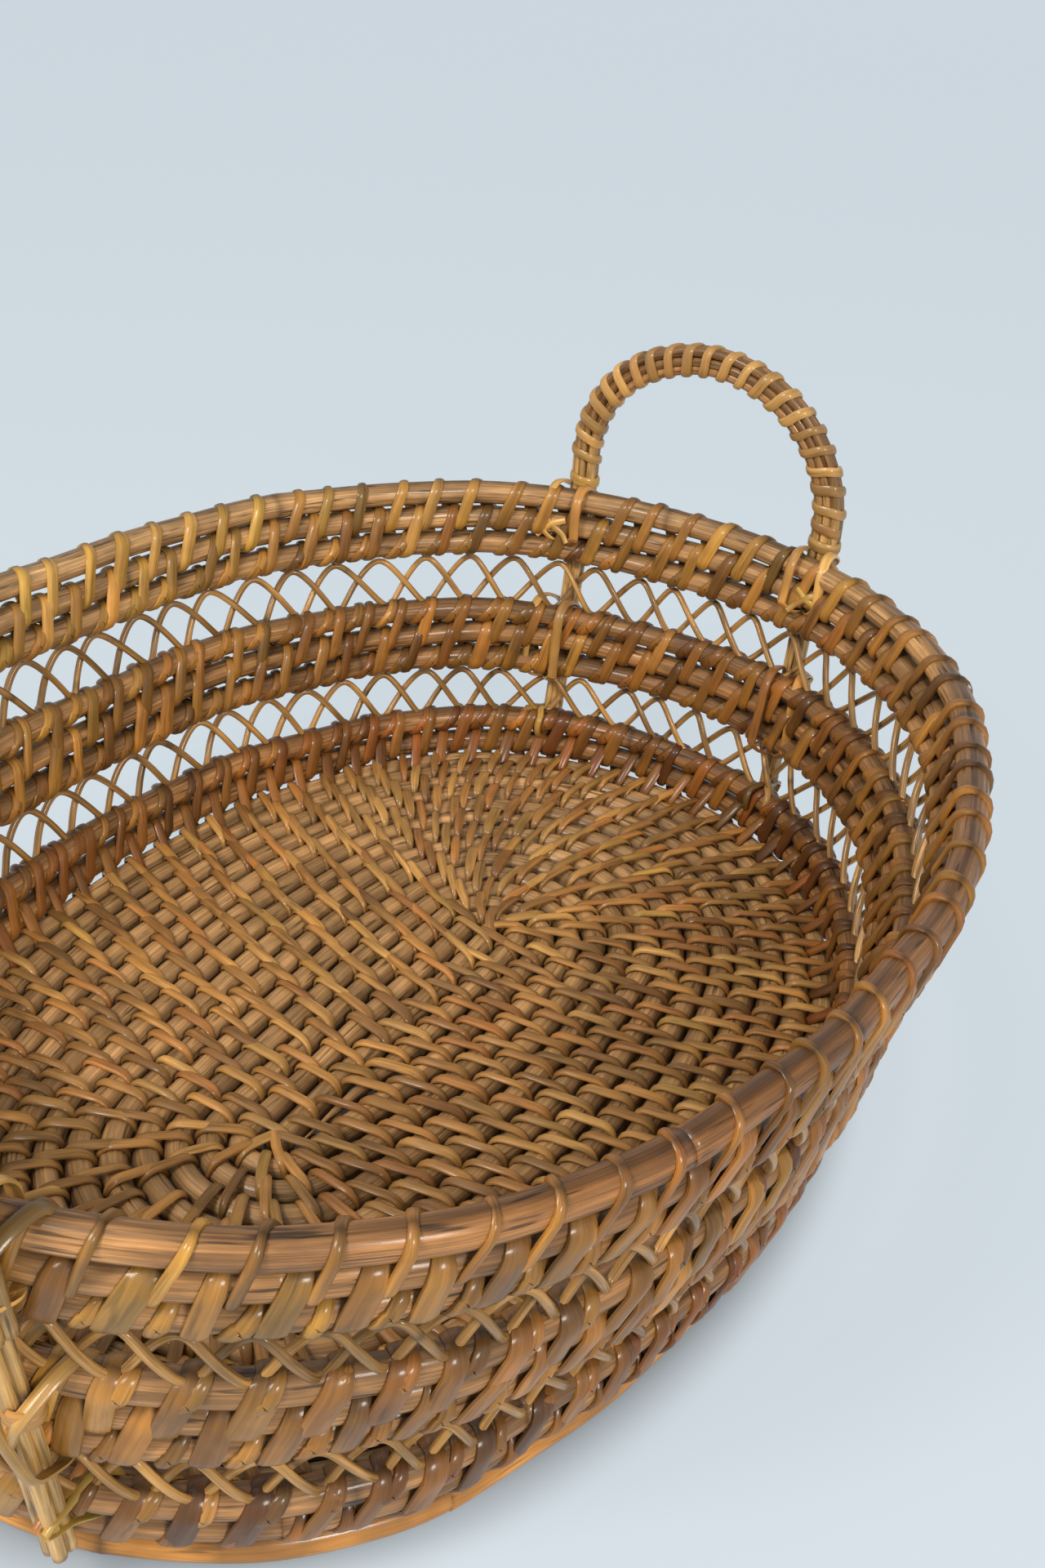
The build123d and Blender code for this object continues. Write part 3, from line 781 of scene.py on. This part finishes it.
def handle_wrap(weave, handle):
    """The peel wound round a handle's loop."""
    low = handle.neck_z - NECK_HEIGHT + HANDLE_WRAP_START
    middle, out = handle.line(0, 0, low, low, spacing=0.0004)
    along = distances(middle)
    count = round(along[-1] / HANDLE_WRAP_PITCH)
    turn = np.arange(count * WRAP_STEPS) / WRAP_STEPS
    knots = np.arange(count + 1)
    uneven = knots + random.normal(0, 0.07, count + 1)
    place = np.clip(np.interp(turn, knots, uneven) / count, 0, 1) * along[-1]
    centre = at_places(place, along, middle)
    radial = unit(at_places(place, along, out))
    deep = np.array([-handle.side, 0.0, 0.0])
    angle = -FULL_TURN * turn * handle.side
    half_span = HANDLE_ROD_SPACING + HANDLE_ROD_RADIUS
    half_depth = HANDLE_ROD_SPACING / 2 + HANDLE_ROD_RADIUS + WRAP_CLEARANCE
    cos, sin = np.cos(angle)[:, None], np.sin(angle)[:, None]
    lift = radial * cos + deep * sin
    cos = np.sign(cos) * np.abs(cos) ** WRAP_SQUARENESS
    sin = np.sign(sin) * np.abs(sin) ** WRAP_SQUARENESS
    points = centre + radial * cos * half_span + deep * sin * half_depth
    colours = (peel_colours(count, HANDLE_SHARES) + 2 * LOOP_PEEL_COLOUR) / 3
    colour = np.repeat(colours, WRAP_STEPS, 0)[:, None]
    width = np.repeat(PEEL_WIDTH * random.normal(0.90, 0.08, count), WRAP_STEPS)
    add_strip(weave, points, lift, width, HANDLE_PEEL_THICKNESS, colour, closed=False)


# Lashings and ties
TIE_THICKNESS = 0.0009
LASHING_WIDTH = PEEL_WIDTH * 0.95
LASHING_SHADE = 0.85
CROSS_HALF_SPREAD = 0.0034     # between the crossed strips, at the top and bottom of the cross
NECK_TIE = dict(half_x=0.0034, half_y=0.0044, shift=0.0, climb=0.0013, tilt=0.0008,
                last=12, passes=6, width=0.85, thickness=TIE_THICKNESS, shade=1.1)
POST_TIE = dict(half_x=0.0030, half_y=0.0033, shift=-0.0012, climb=0.0034, tilt=0.0,
                last=24, passes=4, width=0.8, thickness=0.0007, shade=1.0)
NECK_TIE_LIFT = 0.0042         # above the rim rod's centre
KNOT_DROP = 0.0062             # below it
KNOT_OUTSET = 0.002            # from the leg, along the rim
BASE_TIE_SPREAD = 0.0030
BASE_TIE_BACK = 0.0046         # behind the wall rod's centre
BASE_TIE_FRONT = 0.0030        # in front of the post's centre
BASE_TIE_HALF_HEIGHT = 0.0044


def mirrored(handle, spots):
    """Points for this handle's end of the basket, from points for the right end."""
    return np.array([(handle.side * x, y, z) for x, y, z in spots])


def rounded(corners, first_spacing, passes, spacing=0.0008):
    """An even path that cuts the corners of a rough one."""
    return resample(smooth(resample(corners, first_spacing), passes), spacing)


def loop_strip(weave, corners, width, shares=HANDLE_SHARES):
    """A strip round a rounded path through corners, which overlaps its start."""
    path = rounded(np.concatenate([corners, corners[:1]]), 0.0006, 9)
    away = path - corners.mean(0)
    colour = peel_colours(1, shares)[0] * LASHING_SHADE
    add_strip(weave, path, away, width, TIE_THICKNESS, colour, closed=False)


def crossed_lashing(weave, handle, low_oval, high_oval):
    """Two strips round a post and a band of rods. They cross outside and lie apart inside."""
    low_z = low_oval.height - ROD_RADIUS - LASHING_GAP
    high_z = high_oval.height + ROD_RADIUS + LASHING_GAP
    middle_z = (low_z + high_z) / 2
    upper_z, lower_z = high_z - 0.0045, low_z + 0.004
    low_x = end_reach(low_oval, LOOP_HALF_SPAN)
    high_x = end_reach(high_oval, LOOP_HALF_SPAN)
    low_in = low_x - ROD_RADIUS - LASHING_GAP
    high_in = high_x - ROD_RADIUS - LASHING_GAP
    for leg in (-1, 1):
        y = leg * LOOP_HALF_SPAN
        for lean in (-1, 1):
            outset = POST_HALF_DEPTH + (PEEL_THICKNESS if lean > 0 else 0)
            cross = lean * CROSS_HALF_SPREAD
            spots = [
                (low_in, y + lean * 0.0052, low_z + 0.003),
                ((low_in + high_in) / 2, y + lean * 0.0048, middle_z),
                (high_in, y + lean * 0.0046, high_z - 0.003),
                (high_in + 0.003, y + lean * 0.0044, high_z + 0.0004),
                (high_x + 0.0035, y + lean * 0.0042, high_z - 0.0004),
                (handle.x_at(upper_z) + outset - 0.0005, y + cross, upper_z),
                (handle.x_at(middle_z) + outset, y, middle_z),
                (handle.x_at(lower_z) + outset - 0.0005, y - cross, lower_z),
                (low_x + 0.0030, y - lean * 0.0020, low_z),
                (low_in + 0.002, y + lean * 0.0030, low_z),
            ]
            loop_strip(weave, mirrored(handle, spots), LASHING_WIDTH)


def wound_tie(
    weave, handle, y, z, half_x, half_y, shift, climb, tilt, last, passes, width, thickness, shade,
):
    """A strip wound twice round one leg of a handle, in last + 1 points."""
    x = handle.x_at(z)
    spots = []
    for index in range(last + 1):
        angle = 2 * index / last * FULL_TURN
        spots.append((
            x + half_x * math.cos(angle), y + shift + half_y * math.sin(angle),
            z + climb * index / last + tilt * math.sin(angle)))
    path = rounded(mirrored(handle, spots), 0.0006, passes)
    away = path - np.array([handle.side * x, y, z])
    away[:, 2] = 0
    colour = peel_colours(1, HANDLE_SHARES)[0] * shade
    add_strip(weave, path, away, PEEL_WIDTH * width, thickness, colour, closed=False)


def knot(weave, handle, rim_oval, leg):
    """The crossed ends of a neck tie, inside the rim."""
    x = end_reach(rim_oval, LOOP_HALF_SPAN) - ROD_RADIUS - LASHING_GAP
    y = leg * (LOOP_HALF_SPAN + KNOT_OUTSET)
    z = rim_oval.height - KNOT_DROP
    for lean in (-1, 1):
        spots = [
            (x, y - lean * 0.0036, z + 0.0018),
            (x - 0.0014, y, z + 0.0004 * lean),
            (x - 0.0004, y + lean * 0.0034, z - 0.0026),
            (x - 0.0012, y + lean * 0.0052, z - 0.0046),
        ]
        path = rounded(mirrored(handle, spots), 0.0005, 5, 0.0006)
        inward = np.tile([-handle.side, 0.0, 0.0], (len(path), 1))
        colour = peel_colours(1, HANDLE_SHARES)[0] * 1.15
        add_strip(weave, path, inward, PEEL_WIDTH * 0.6, 0.0008, colour, closed=False)


def rim_lashing(weave, handle, ovals):
    """A handle's crossed strips at the rim, with a tied and knotted strip round each neck."""
    rim = ovals["rim_rod_upper"]
    crossed_lashing(weave, handle, ovals["rim_rod_middle"], rim)
    for leg in (-1, 1):
        wound_tie(weave, handle, leg * LOOP_HALF_SPAN, rim.height + NECK_TIE_LIFT, **NECK_TIE)
        knot(weave, handle, rim, leg)


def mid_lashing(weave, handle, ovals):
    """A handle's crossed strips at the middle band, with a strip round each post above them."""
    crossed_lashing(weave, handle, ovals["mid_rod_lower"], ovals["mid_rod_upper"])
    for leg in (-1, 1):
        wound_tie(weave, handle, leg * LOOP_HALF_SPAN, POST_TIE_HEIGHT, **POST_TIE)


def base_lashing(weave, handle, ovals):
    """Two strips round each post and the wall rod beside it."""
    oval = ovals["base_rod_upper"]
    height = oval.height
    wall_x = end_reach(oval, LOOP_HALF_SPAN)
    front = handle.x_at(height) - wall_x + BASE_TIE_FRONT
    for leg in (-1, 1):
        for beside in (-BASE_TIE_SPREAD, BASE_TIE_SPREAD):
            spots = []
            for degrees in range(0, 360, 30):
                cos, sin = math.cos(math.radians(degrees)), math.sin(math.radians(degrees))
                reach = BASE_TIE_BACK if cos < 0 else front
                spread = beside * (0.35 if cos > 0 else 1.0)
                rise = BASE_TIE_HALF_HEIGHT * sin * (0.5 if cos > 0.1 else 1.0)
                spots.append((wall_x + reach * cos, leg * LOOP_HALF_SPAN + spread, height + rise))
            loop_strip(weave, mirrored(handle, spots), PEEL_WIDTH * 0.65, WALL_SHARES)


def at_places(wanted, along, values):
    """Points between the points of a path, at the wanted distances along it."""
    return np.stack([np.interp(wanted, along, values[:, axis]) for axis in range(3)], -1)


def resample(points, spacing):
    """Points at an even spacing along a polyline."""
    along = distances(points)
    wanted = np.linspace(0, along[-1], int(along[-1] / spacing) + 1)
    return at_places(wanted, along, points)


def smooth(points, passes):
    """Rounds the corners of a path and leaves its ends."""
    for _ in range(passes):
        points = points.copy()
        points[1:-1] = points[1:-1] * 0.5 + (points[:-2] + points[2:]) * 0.25
    return points


# ---- materials

def set_inputs(made, **values):
    """Sets some of a shader node's inputs."""
    for name, value in values.items():
        made.inputs[name.replace("_", " ")].default_value = value


def node(tree, kind, **values):
    """A shader node with some of its inputs set."""
    made = tree.nodes.new(kind)
    set_inputs(made, **values)
    return made


def spread(tree, value, low, high, dark, light, kind="LINEAR"):
    """Maps a range of values to a range of brightness."""
    made = node(tree, "ShaderNodeMapRange", From_Min=low, From_Max=high, To_Min=dark, To_Max=light)
    made.interpolation_type = kind
    tree.links.new(value, made.inputs["Value"])
    return made.outputs["Result"]


def noise(tree, grain, scale, detail, roughness):
    """Noise in the grain's frame: across a piece twice, then along it."""
    stretch = node(tree, "ShaderNodeMapping", Scale=scale)
    texture = node(tree, "ShaderNodeTexNoise", Scale=1.0, Detail=detail, Roughness=roughness)
    tree.links.new(grain, stretch.inputs["Vector"])
    tree.links.new(stretch.outputs["Vector"], texture.inputs["Vector"])
    return texture.outputs["Fac"]


def attribute(tree, name, output):
    """A value that is stored on the mesh."""
    made = tree.nodes.new("ShaderNodeAttribute")
    made.attribute_name = name
    return made.outputs[output]


def times(tree, first, second):
    """Product of two values."""
    made = tree.nodes.new("ShaderNodeMath")
    made.operation = "MULTIPLY"
    tree.links.new(first, made.inputs[0])
    tree.links.new(second, made.inputs[1])
    return made.outputs[0]


def rattan(name, streak, gloss, speck):
    """Varnished rattan: its tint, streaks along the grain, dark specks and a thin clear coat."""
    material = bpy.data.materials.new(name)
    material.use_nodes = True
    tree = material.node_tree
    tree.nodes.clear()
    link = tree.links.new
    grain = attribute(tree, "grain", "Vector")
    fibres = noise(tree, grain, (2300, 2300, 40), 4.0, 0.65)
    streaks = noise(tree, grain, (800, 800, 26), 3.0, 0.6)
    blotches = noise(tree, grain, (90, 90, 45), 3.0, 0.55)
    specks = noise(tree, grain, (900, 900, 70), 2.0, 0.5)
    fibre_tone = spread(tree, fibres, 0.36, 0.64, 1 - 0.8 * streak, 1 + 0.6 * streak)
    streak_tone = spread(tree, streaks, 0.38, 0.62, 1 - streak, 1 + 0.6 * streak)
    blotch_tone = spread(tree, blotches, 0.38, 0.62, 0.70, 1.30)
    speck_tone = spread(tree, specks, 0.31, 0.40, 1 - speck, 1.0)
    grain_tone = times(tree, fibre_tone, streak_tone)
    scaled = tree.nodes.new("ShaderNodeVectorMath")
    scaled.operation = "SCALE"
    link(attribute(tree, "tint", "Color"), scaled.inputs[0])
    link(times(tree, grain_tone, times(tree, blotch_tone, speck_tone)), scaled.inputs["Scale"])
    shader = node(
        tree, "ShaderNodeBsdfPrincipled", IOR=1.5, Specular_IOR_Level=0.3,
        Coat_Weight=gloss, Coat_Roughness=0.19, Coat_IOR=1.5)
    bump = node(tree, "ShaderNodeBump", Strength=0.7, Distance=0.00022)
    link(grain_tone, bump.inputs["Height"])
    link(bump.outputs["Normal"], shader.inputs["Normal"])
    link(spread(tree, streaks, 0.3, 0.7, 0.62, 0.42), shader.inputs["Roughness"])
    link(scaled.outputs["Vector"], shader.inputs["Base Color"])
    output = tree.nodes.new("ShaderNodeOutputMaterial")
    link(shader.outputs["BSDF"], output.inputs["Surface"])
    return material


def backdrop_material():
    """Plain matt paper, pale blue grey, which glows a little, with a painted shadow under the basket and
    round its foot where it glows less.
    """
    material = bpy.data.materials.new("backdrop_paper")
    material.use_nodes = True
    tree = material.node_tree
    link = tree.links.new
    shader = tree.nodes["Principled BSDF"]
    set_inputs(
        shader, Base_Color=(0.130, 0.145, 0.155, 1.0), Roughness=1.0, Specular_IOR_Level=0.0,
        Emission_Color=(0.83, 0.925, 1.0, 1.0))
    place = tree.nodes.new("ShaderNodeTexCoord")
    low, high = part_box("foot_ring")
    half = (high - low) / 2
    footprint = node(
        tree, "ShaderNodeMapping", Location=(-CENTRE_X / half.x, 0, 0), Scale=(1 / half.x, 1 / half.y, 0))
    distance = tree.nodes.new("ShaderNodeVectorMath")
    distance.operation = "LENGTH"
    link(place.outputs["Object"], footprint.inputs["Vector"])
    link(footprint.outputs["Vector"], distance.inputs[0])
    # It glows less under the basket and round its foot: a painted contact shadow.
    glow = spread(tree, distance.outputs["Value"], 0.92, 1.12, 0.03, 0.64, "SMOOTHSTEP")
    link(glow, shader.inputs["Emission Strength"])
    return material


# ---- stage, light and camera

STAGE_HEIGHT = -0.0001
FLOOR_REACH = 3.0
WALL_BEND = 1.5
WALL_HEIGHT = 3.5
SECTORS = 48


def backdrop(material):
    """A wide round floor that curves up into a wall on all sides."""
    bend = np.radians(np.arange(0, 91, 10))
    reach = [0.5, *(FLOOR_REACH + WALL_BEND * np.sin(bend)), FLOOR_REACH + WALL_BEND]
    height = [0.0, *(WALL_BEND - WALL_BEND * np.cos(bend)), WALL_HEIGHT]
    around = np.arange(SECTORS) / SECTORS * FULL_TURN
    vertices = [(0.0, 0.0, STAGE_HEIGHT)]
    for far, up in zip(reach, height):
        vertices += [(far * math.cos(a), far * math.sin(a), up + STAGE_HEIGHT) for a in around]
    pairs = [(sector, (sector + 1) % SECTORS) for sector in range(SECTORS)]
    faces = [(0, 1 + left, 1 + right) for left, right in pairs]
    for inner in range(1, len(vertices) - SECTORS, SECTORS):
        outer = inner + SECTORS
        faces += [(inner + left, outer + left, outer + right, inner + right) for left, right in pairs]
    mesh = bpy.data.meshes.new("backdrop")
    mesh.from_pydata(vertices, [], faces)
    mesh.polygons.foreach_set("use_smooth", np.ones(len(faces), bool))
    mesh.materials.append(material)
    piece = add_object("backdrop", mesh)


def light(name, kind, place, energy, size, colour):
    """A soft light that shines from its place towards the object."""
    lamp = bpy.data.lights.new(name, kind)
    lamp.energy = energy
    lamp.color = colour
    if kind == "SUN":
        lamp.angle = size
    else:
        lamp.size = size
    made = add_object(name, lamp)
    made.location = place
    made.rotation_euler = Vector(place).to_track_quat("Z", "Y").to_euler()


CAMERA_PLACE = (CENTRE_X - 0.2598, -0.1645, 0.27075)
CAMERA_RIGHT = (0.49878, -0.86369, 0.07253)
CAMERA_UP = (0.42135, 0.31475, 0.85053)
FOCAL_LENGTH = 37.55            # in millimetres, on a sensor 36 wide


def camera():
    """The camera, close above the left end and looking along the basket to the right."""
    lens = bpy.data.cameras.new("camera")
    lens.lens = FOCAL_LENGTH
    lens.sensor_width = 36
    lens.clip_start = 0.01
    made = add_object("camera", lens)
    right, up = Vector(CAMERA_RIGHT), Vector(CAMERA_UP)
    turned = Matrix((right, up, right.cross(up))).transposed().to_4x4()
    made.matrix_world = Matrix.Translation(CAMERA_PLACE) @ turned
    bpy.context.scene.camera = made


# ---- assembly

# The material of each slot
MATERIALS = {
    "wall_rod": rattan("rod_rattan", streak=0.36, gloss=0.35, speck=0.7),
    "floor_rod": rattan("floor_rod_rattan", streak=0.30, gloss=0.3, speck=0.65),
    "foot_rod": rattan("foot_rod_rattan", streak=0.14, gloss=0.5, speck=0.5),
    "wall_peel": rattan("peel_rattan", streak=0.20, gloss=0.4, speck=0.35),
    "floor_peel": rattan("floor_peel_rattan", streak=0.20, gloss=0.4, speck=0.35),
    "lattice_cane": rattan("cane_rattan", streak=0.34, gloss=0.5, speck=0.4),
    "handle_rod": rattan("handle_rod_rattan", streak=0.35, gloss=0.4, speck=0.6),
    "handle_peel": rattan("handle_peel_rattan", streak=0.14, gloss=0.45, speck=0.3),
}


def add_piece(name, slot, fill, *values, turned=None, nodes=None):
    """A piece that one function fills, in the place of the frame's nodes."""
    nodes = nodes or [name]
    weave = Weave(turned)
    fill(weave, *values)
    piece = weave.build(name + "_look", MATERIALS[slot])
    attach(piece, "root")
    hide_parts(*nodes)


WALL_RODS = [
    "base_rod_lower", "base_rod_upper", "mid_rod_lower", "mid_rod_middle",
    "mid_rod_upper", "rim_rod_lower", "rim_rod_middle", "rim_rod_upper",
]
# The rods that each binding goes round, and where its first turn is, as a share of the pitch
ROWS = [
    ("base_stitches", "base_rod_lower", "base_rod_upper", 0.5, BASE_SHARES),
    ("mid_lower_stitches", "mid_rod_lower", "mid_rod_middle", 0.0, WALL_SHARES),
    ("mid_upper_stitches", "mid_rod_middle", "mid_rod_upper", 0.5, WALL_SHARES),
    ("rim_lower_stitches", "rim_rod_lower", "rim_rod_middle", 0.0, WALL_SHARES),
    ("rim_upper_stitches", "rim_rod_middle", "rim_rod_upper", 0.5, WALL_SHARES),
]
WRAPS = [
    ("base_top_wraps", "base_rod_upper", 0.2, BASE_SHARES),
    ("mid_bottom_wraps", "mid_rod_lower", 0.55, WALL_SHARES),
    ("mid_top_wraps", "mid_rod_upper", 0.2, WALL_SHARES),
    ("rim_bottom_wraps", "rim_rod_lower", 0.55, WALL_SHARES),
]
TIERS = [
    ("lower", "base_rod_upper", "mid_rod_lower"),
    ("upper", "mid_rod_upper", "rim_rod_lower"),
]
ROD_WOBBLE = 0.00025
CORE_STEPS = 80
FOOT_WOBBLE = 0.0001


def wall():
    """The wall's rods, bindings and lattices."""
    ovals = {name: node_oval(name, ROD_RADIUS, ROD_WOBBLE) for name in WALL_RODS}
    for name, oval in ovals.items():
        add_piece(name, "wall_rod", ring_rod, oval, ROD_RADIUS, ROD_COLOUR * random.uniform(0.88, 1.1))
    for name, first, second, phase, shares in ROWS:
        narrowing = NEAR_NARROWING.get(name, OTHER_NARROWING)
        add_piece(name, "wall_peel", wall_row, ovals[first], ovals[second], phase, shares, narrowing)
    for name, rod, phase, shares in WRAPS:
        add_piece(name, "wall_peel", single_wraps, ovals[rod], phase, shares)
    for tier, low, high in TIERS:
        sectors = [f"{tier}_lattice_{sector}" for sector in range(1, 9)]
        add_piece(f"{tier}_lattice", "lattice_cane", lattice, ovals[low], ovals[high], nodes=sectors)
    return ovals


def edge_frame(base_oval):
    """The floor's outermost turn and the lowest base rod, for places in turns clockwise."""
    edge = floor_oval(FLOOR_TURNS)

    def frame_at(place):
        second, tangent, normal = base_oval.frames(-place)
        first = edge.inward(second, normal)
        face = unit(np.cross(unit(second - first), tangent))
        upward = np.where(face[..., 2:] < 0, -1.0, 1.0)
        return first, second, face * upward
    return frame_at


def floor_core(weave):
    """The straight first rod of the floor."""
    line = np.linspace(
        (-CORE_HALF_LENGTH, 0.0, FLOOR_HEIGHT), (CORE_HALF_LENGTH, 0.0, FLOOR_HEIGHT), CORE_STEPS)
    across = np.tile([0.0, 1.0, 0.0], (CORE_STEPS, 1))
    add_rod(weave, line, across, FLOOR_ROD_RADIUS, FLOOR_ROD_COLOUR, False, crevice=0.0)


def floor_coil(weave):
    """The floor's one long rod."""
    points, sides, taper = coil_path()
    add_rod(weave, points, sides, FLOOR_ROD_RADIUS, FLOOR_ROD_COLOUR, False, taper, 16, crevice=0.0)


def floor_rows(weave, first, last):
    """The binding of some neighbouring rows of the floor."""
    for row in range(first, last + 1):
        floor_row(weave, row)


def edge_row(weave, base_oval):
    """The row that binds the floor to the wall."""
    starts = uneven_starts(np.arange(WALL_STITCHES) / WALL_STITCHES, 0.05)
    add_winding(
        weave, edge_frame(base_oval), starts, EDGE_ADVANCE / WALL_STITCHES, ROD_RADIUS,
        wall_colours(BASE_SHARES, starts[:-1], 0.0), closed=True,
    )


def floor(base_oval):
    """The coiled floor with its binding."""
    add_piece("floor_core_rod", "floor_rod", floor_core)
    add_piece("floor_coil", "floor_rod", floor_coil)
    for name, first, last in (("inner", 1, 5), ("middle", 6, 9), ("outer", 10, FLOOR_TURNS)):
        add_piece(f"floor_stitches_{name}", "floor_peel", floor_rows, first, last)
    add_piece("base_edge_stitches", "wall_peel", edge_row, base_oval)


def foot():
    """The smooth rod that the basket stands on."""
    oval = node_oval("foot_ring", ROD_RADIUS, FOOT_WOBBLE)
    add_piece("foot_ring", "foot_rod", ring_rod, oval, ROD_RADIUS * 0.97, FOOT_COLOUR)


def off_middle(rim):
    """Turns points round the left end of the rim to where the frame's left handle is."""
    low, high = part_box("left_handle_wrap")
    shift = (low.y + high.y) / 2
    turn = -math.asin(shift / rim.end_radius)
    cos, sin = math.cos(turn), math.sin(turn)

    def turned(points):
        x = points[:, 0] + rim.end_centre
        y = points[:, 1]
        return np.stack([x * cos - y * sin - rim.end_centre, x * sin + y * cos, points[:, 2]], -1)
    return turned


def handles(ovals):
    """Both handles with their wraps, ties and lashings."""
    rim = ovals["rim_rod_upper"]
    for name, side in (("left", -1), ("right", 1)):
        handle = Handle(side, ovals["base_rod_lower"], rim)
        turned = off_middle(rim) if side < 0 else None
        for part, slot, fill, *values in (
            ("outer_rods", "handle_rod", handle_rods, HANDLE_ROD_SPACING / 2),
            ("inner_rods", "handle_rod", handle_rods, -HANDLE_ROD_SPACING / 2),
            ("wrap", "handle_peel", handle_wrap),
            ("rim_lashing", "handle_peel", rim_lashing, ovals),
            ("mid_lashing", "handle_peel", mid_lashing, ovals),
            ("base_lashing", "handle_peel", base_lashing, ovals),
        ):
            add_piece(f"{name}_handle_{part}", slot, fill, handle, *values, turned=turned)


ovals = wall()
floor(ovals["base_rod_lower"])
foot()
handles(ovals)

backdrop(backdrop_material())
light("key_light", "AREA", (-0.42, 0.10, 0.50), 2.6, 0.16, (1.0, 0.94, 0.85))
light("near_light", "AREA", (-0.60, -0.80, 0.72), 8.0, 0.25, (1.0, 0.94, 0.85))
light("top_light", "SUN", (-0.5, 0.9, 1.7), 0.45, math.radians(35), (1.0, 0.98, 0.95))
bpy.context.scene.view_settings.view_transform = "Standard"
world = bpy.data.worlds.new("studio")
world.use_nodes = True
set_inputs(world.node_tree.nodes["Background"], Color=(0.92, 0.96, 1.0, 1.0), Strength=0.25)
bpy.context.scene.world = world
camera()
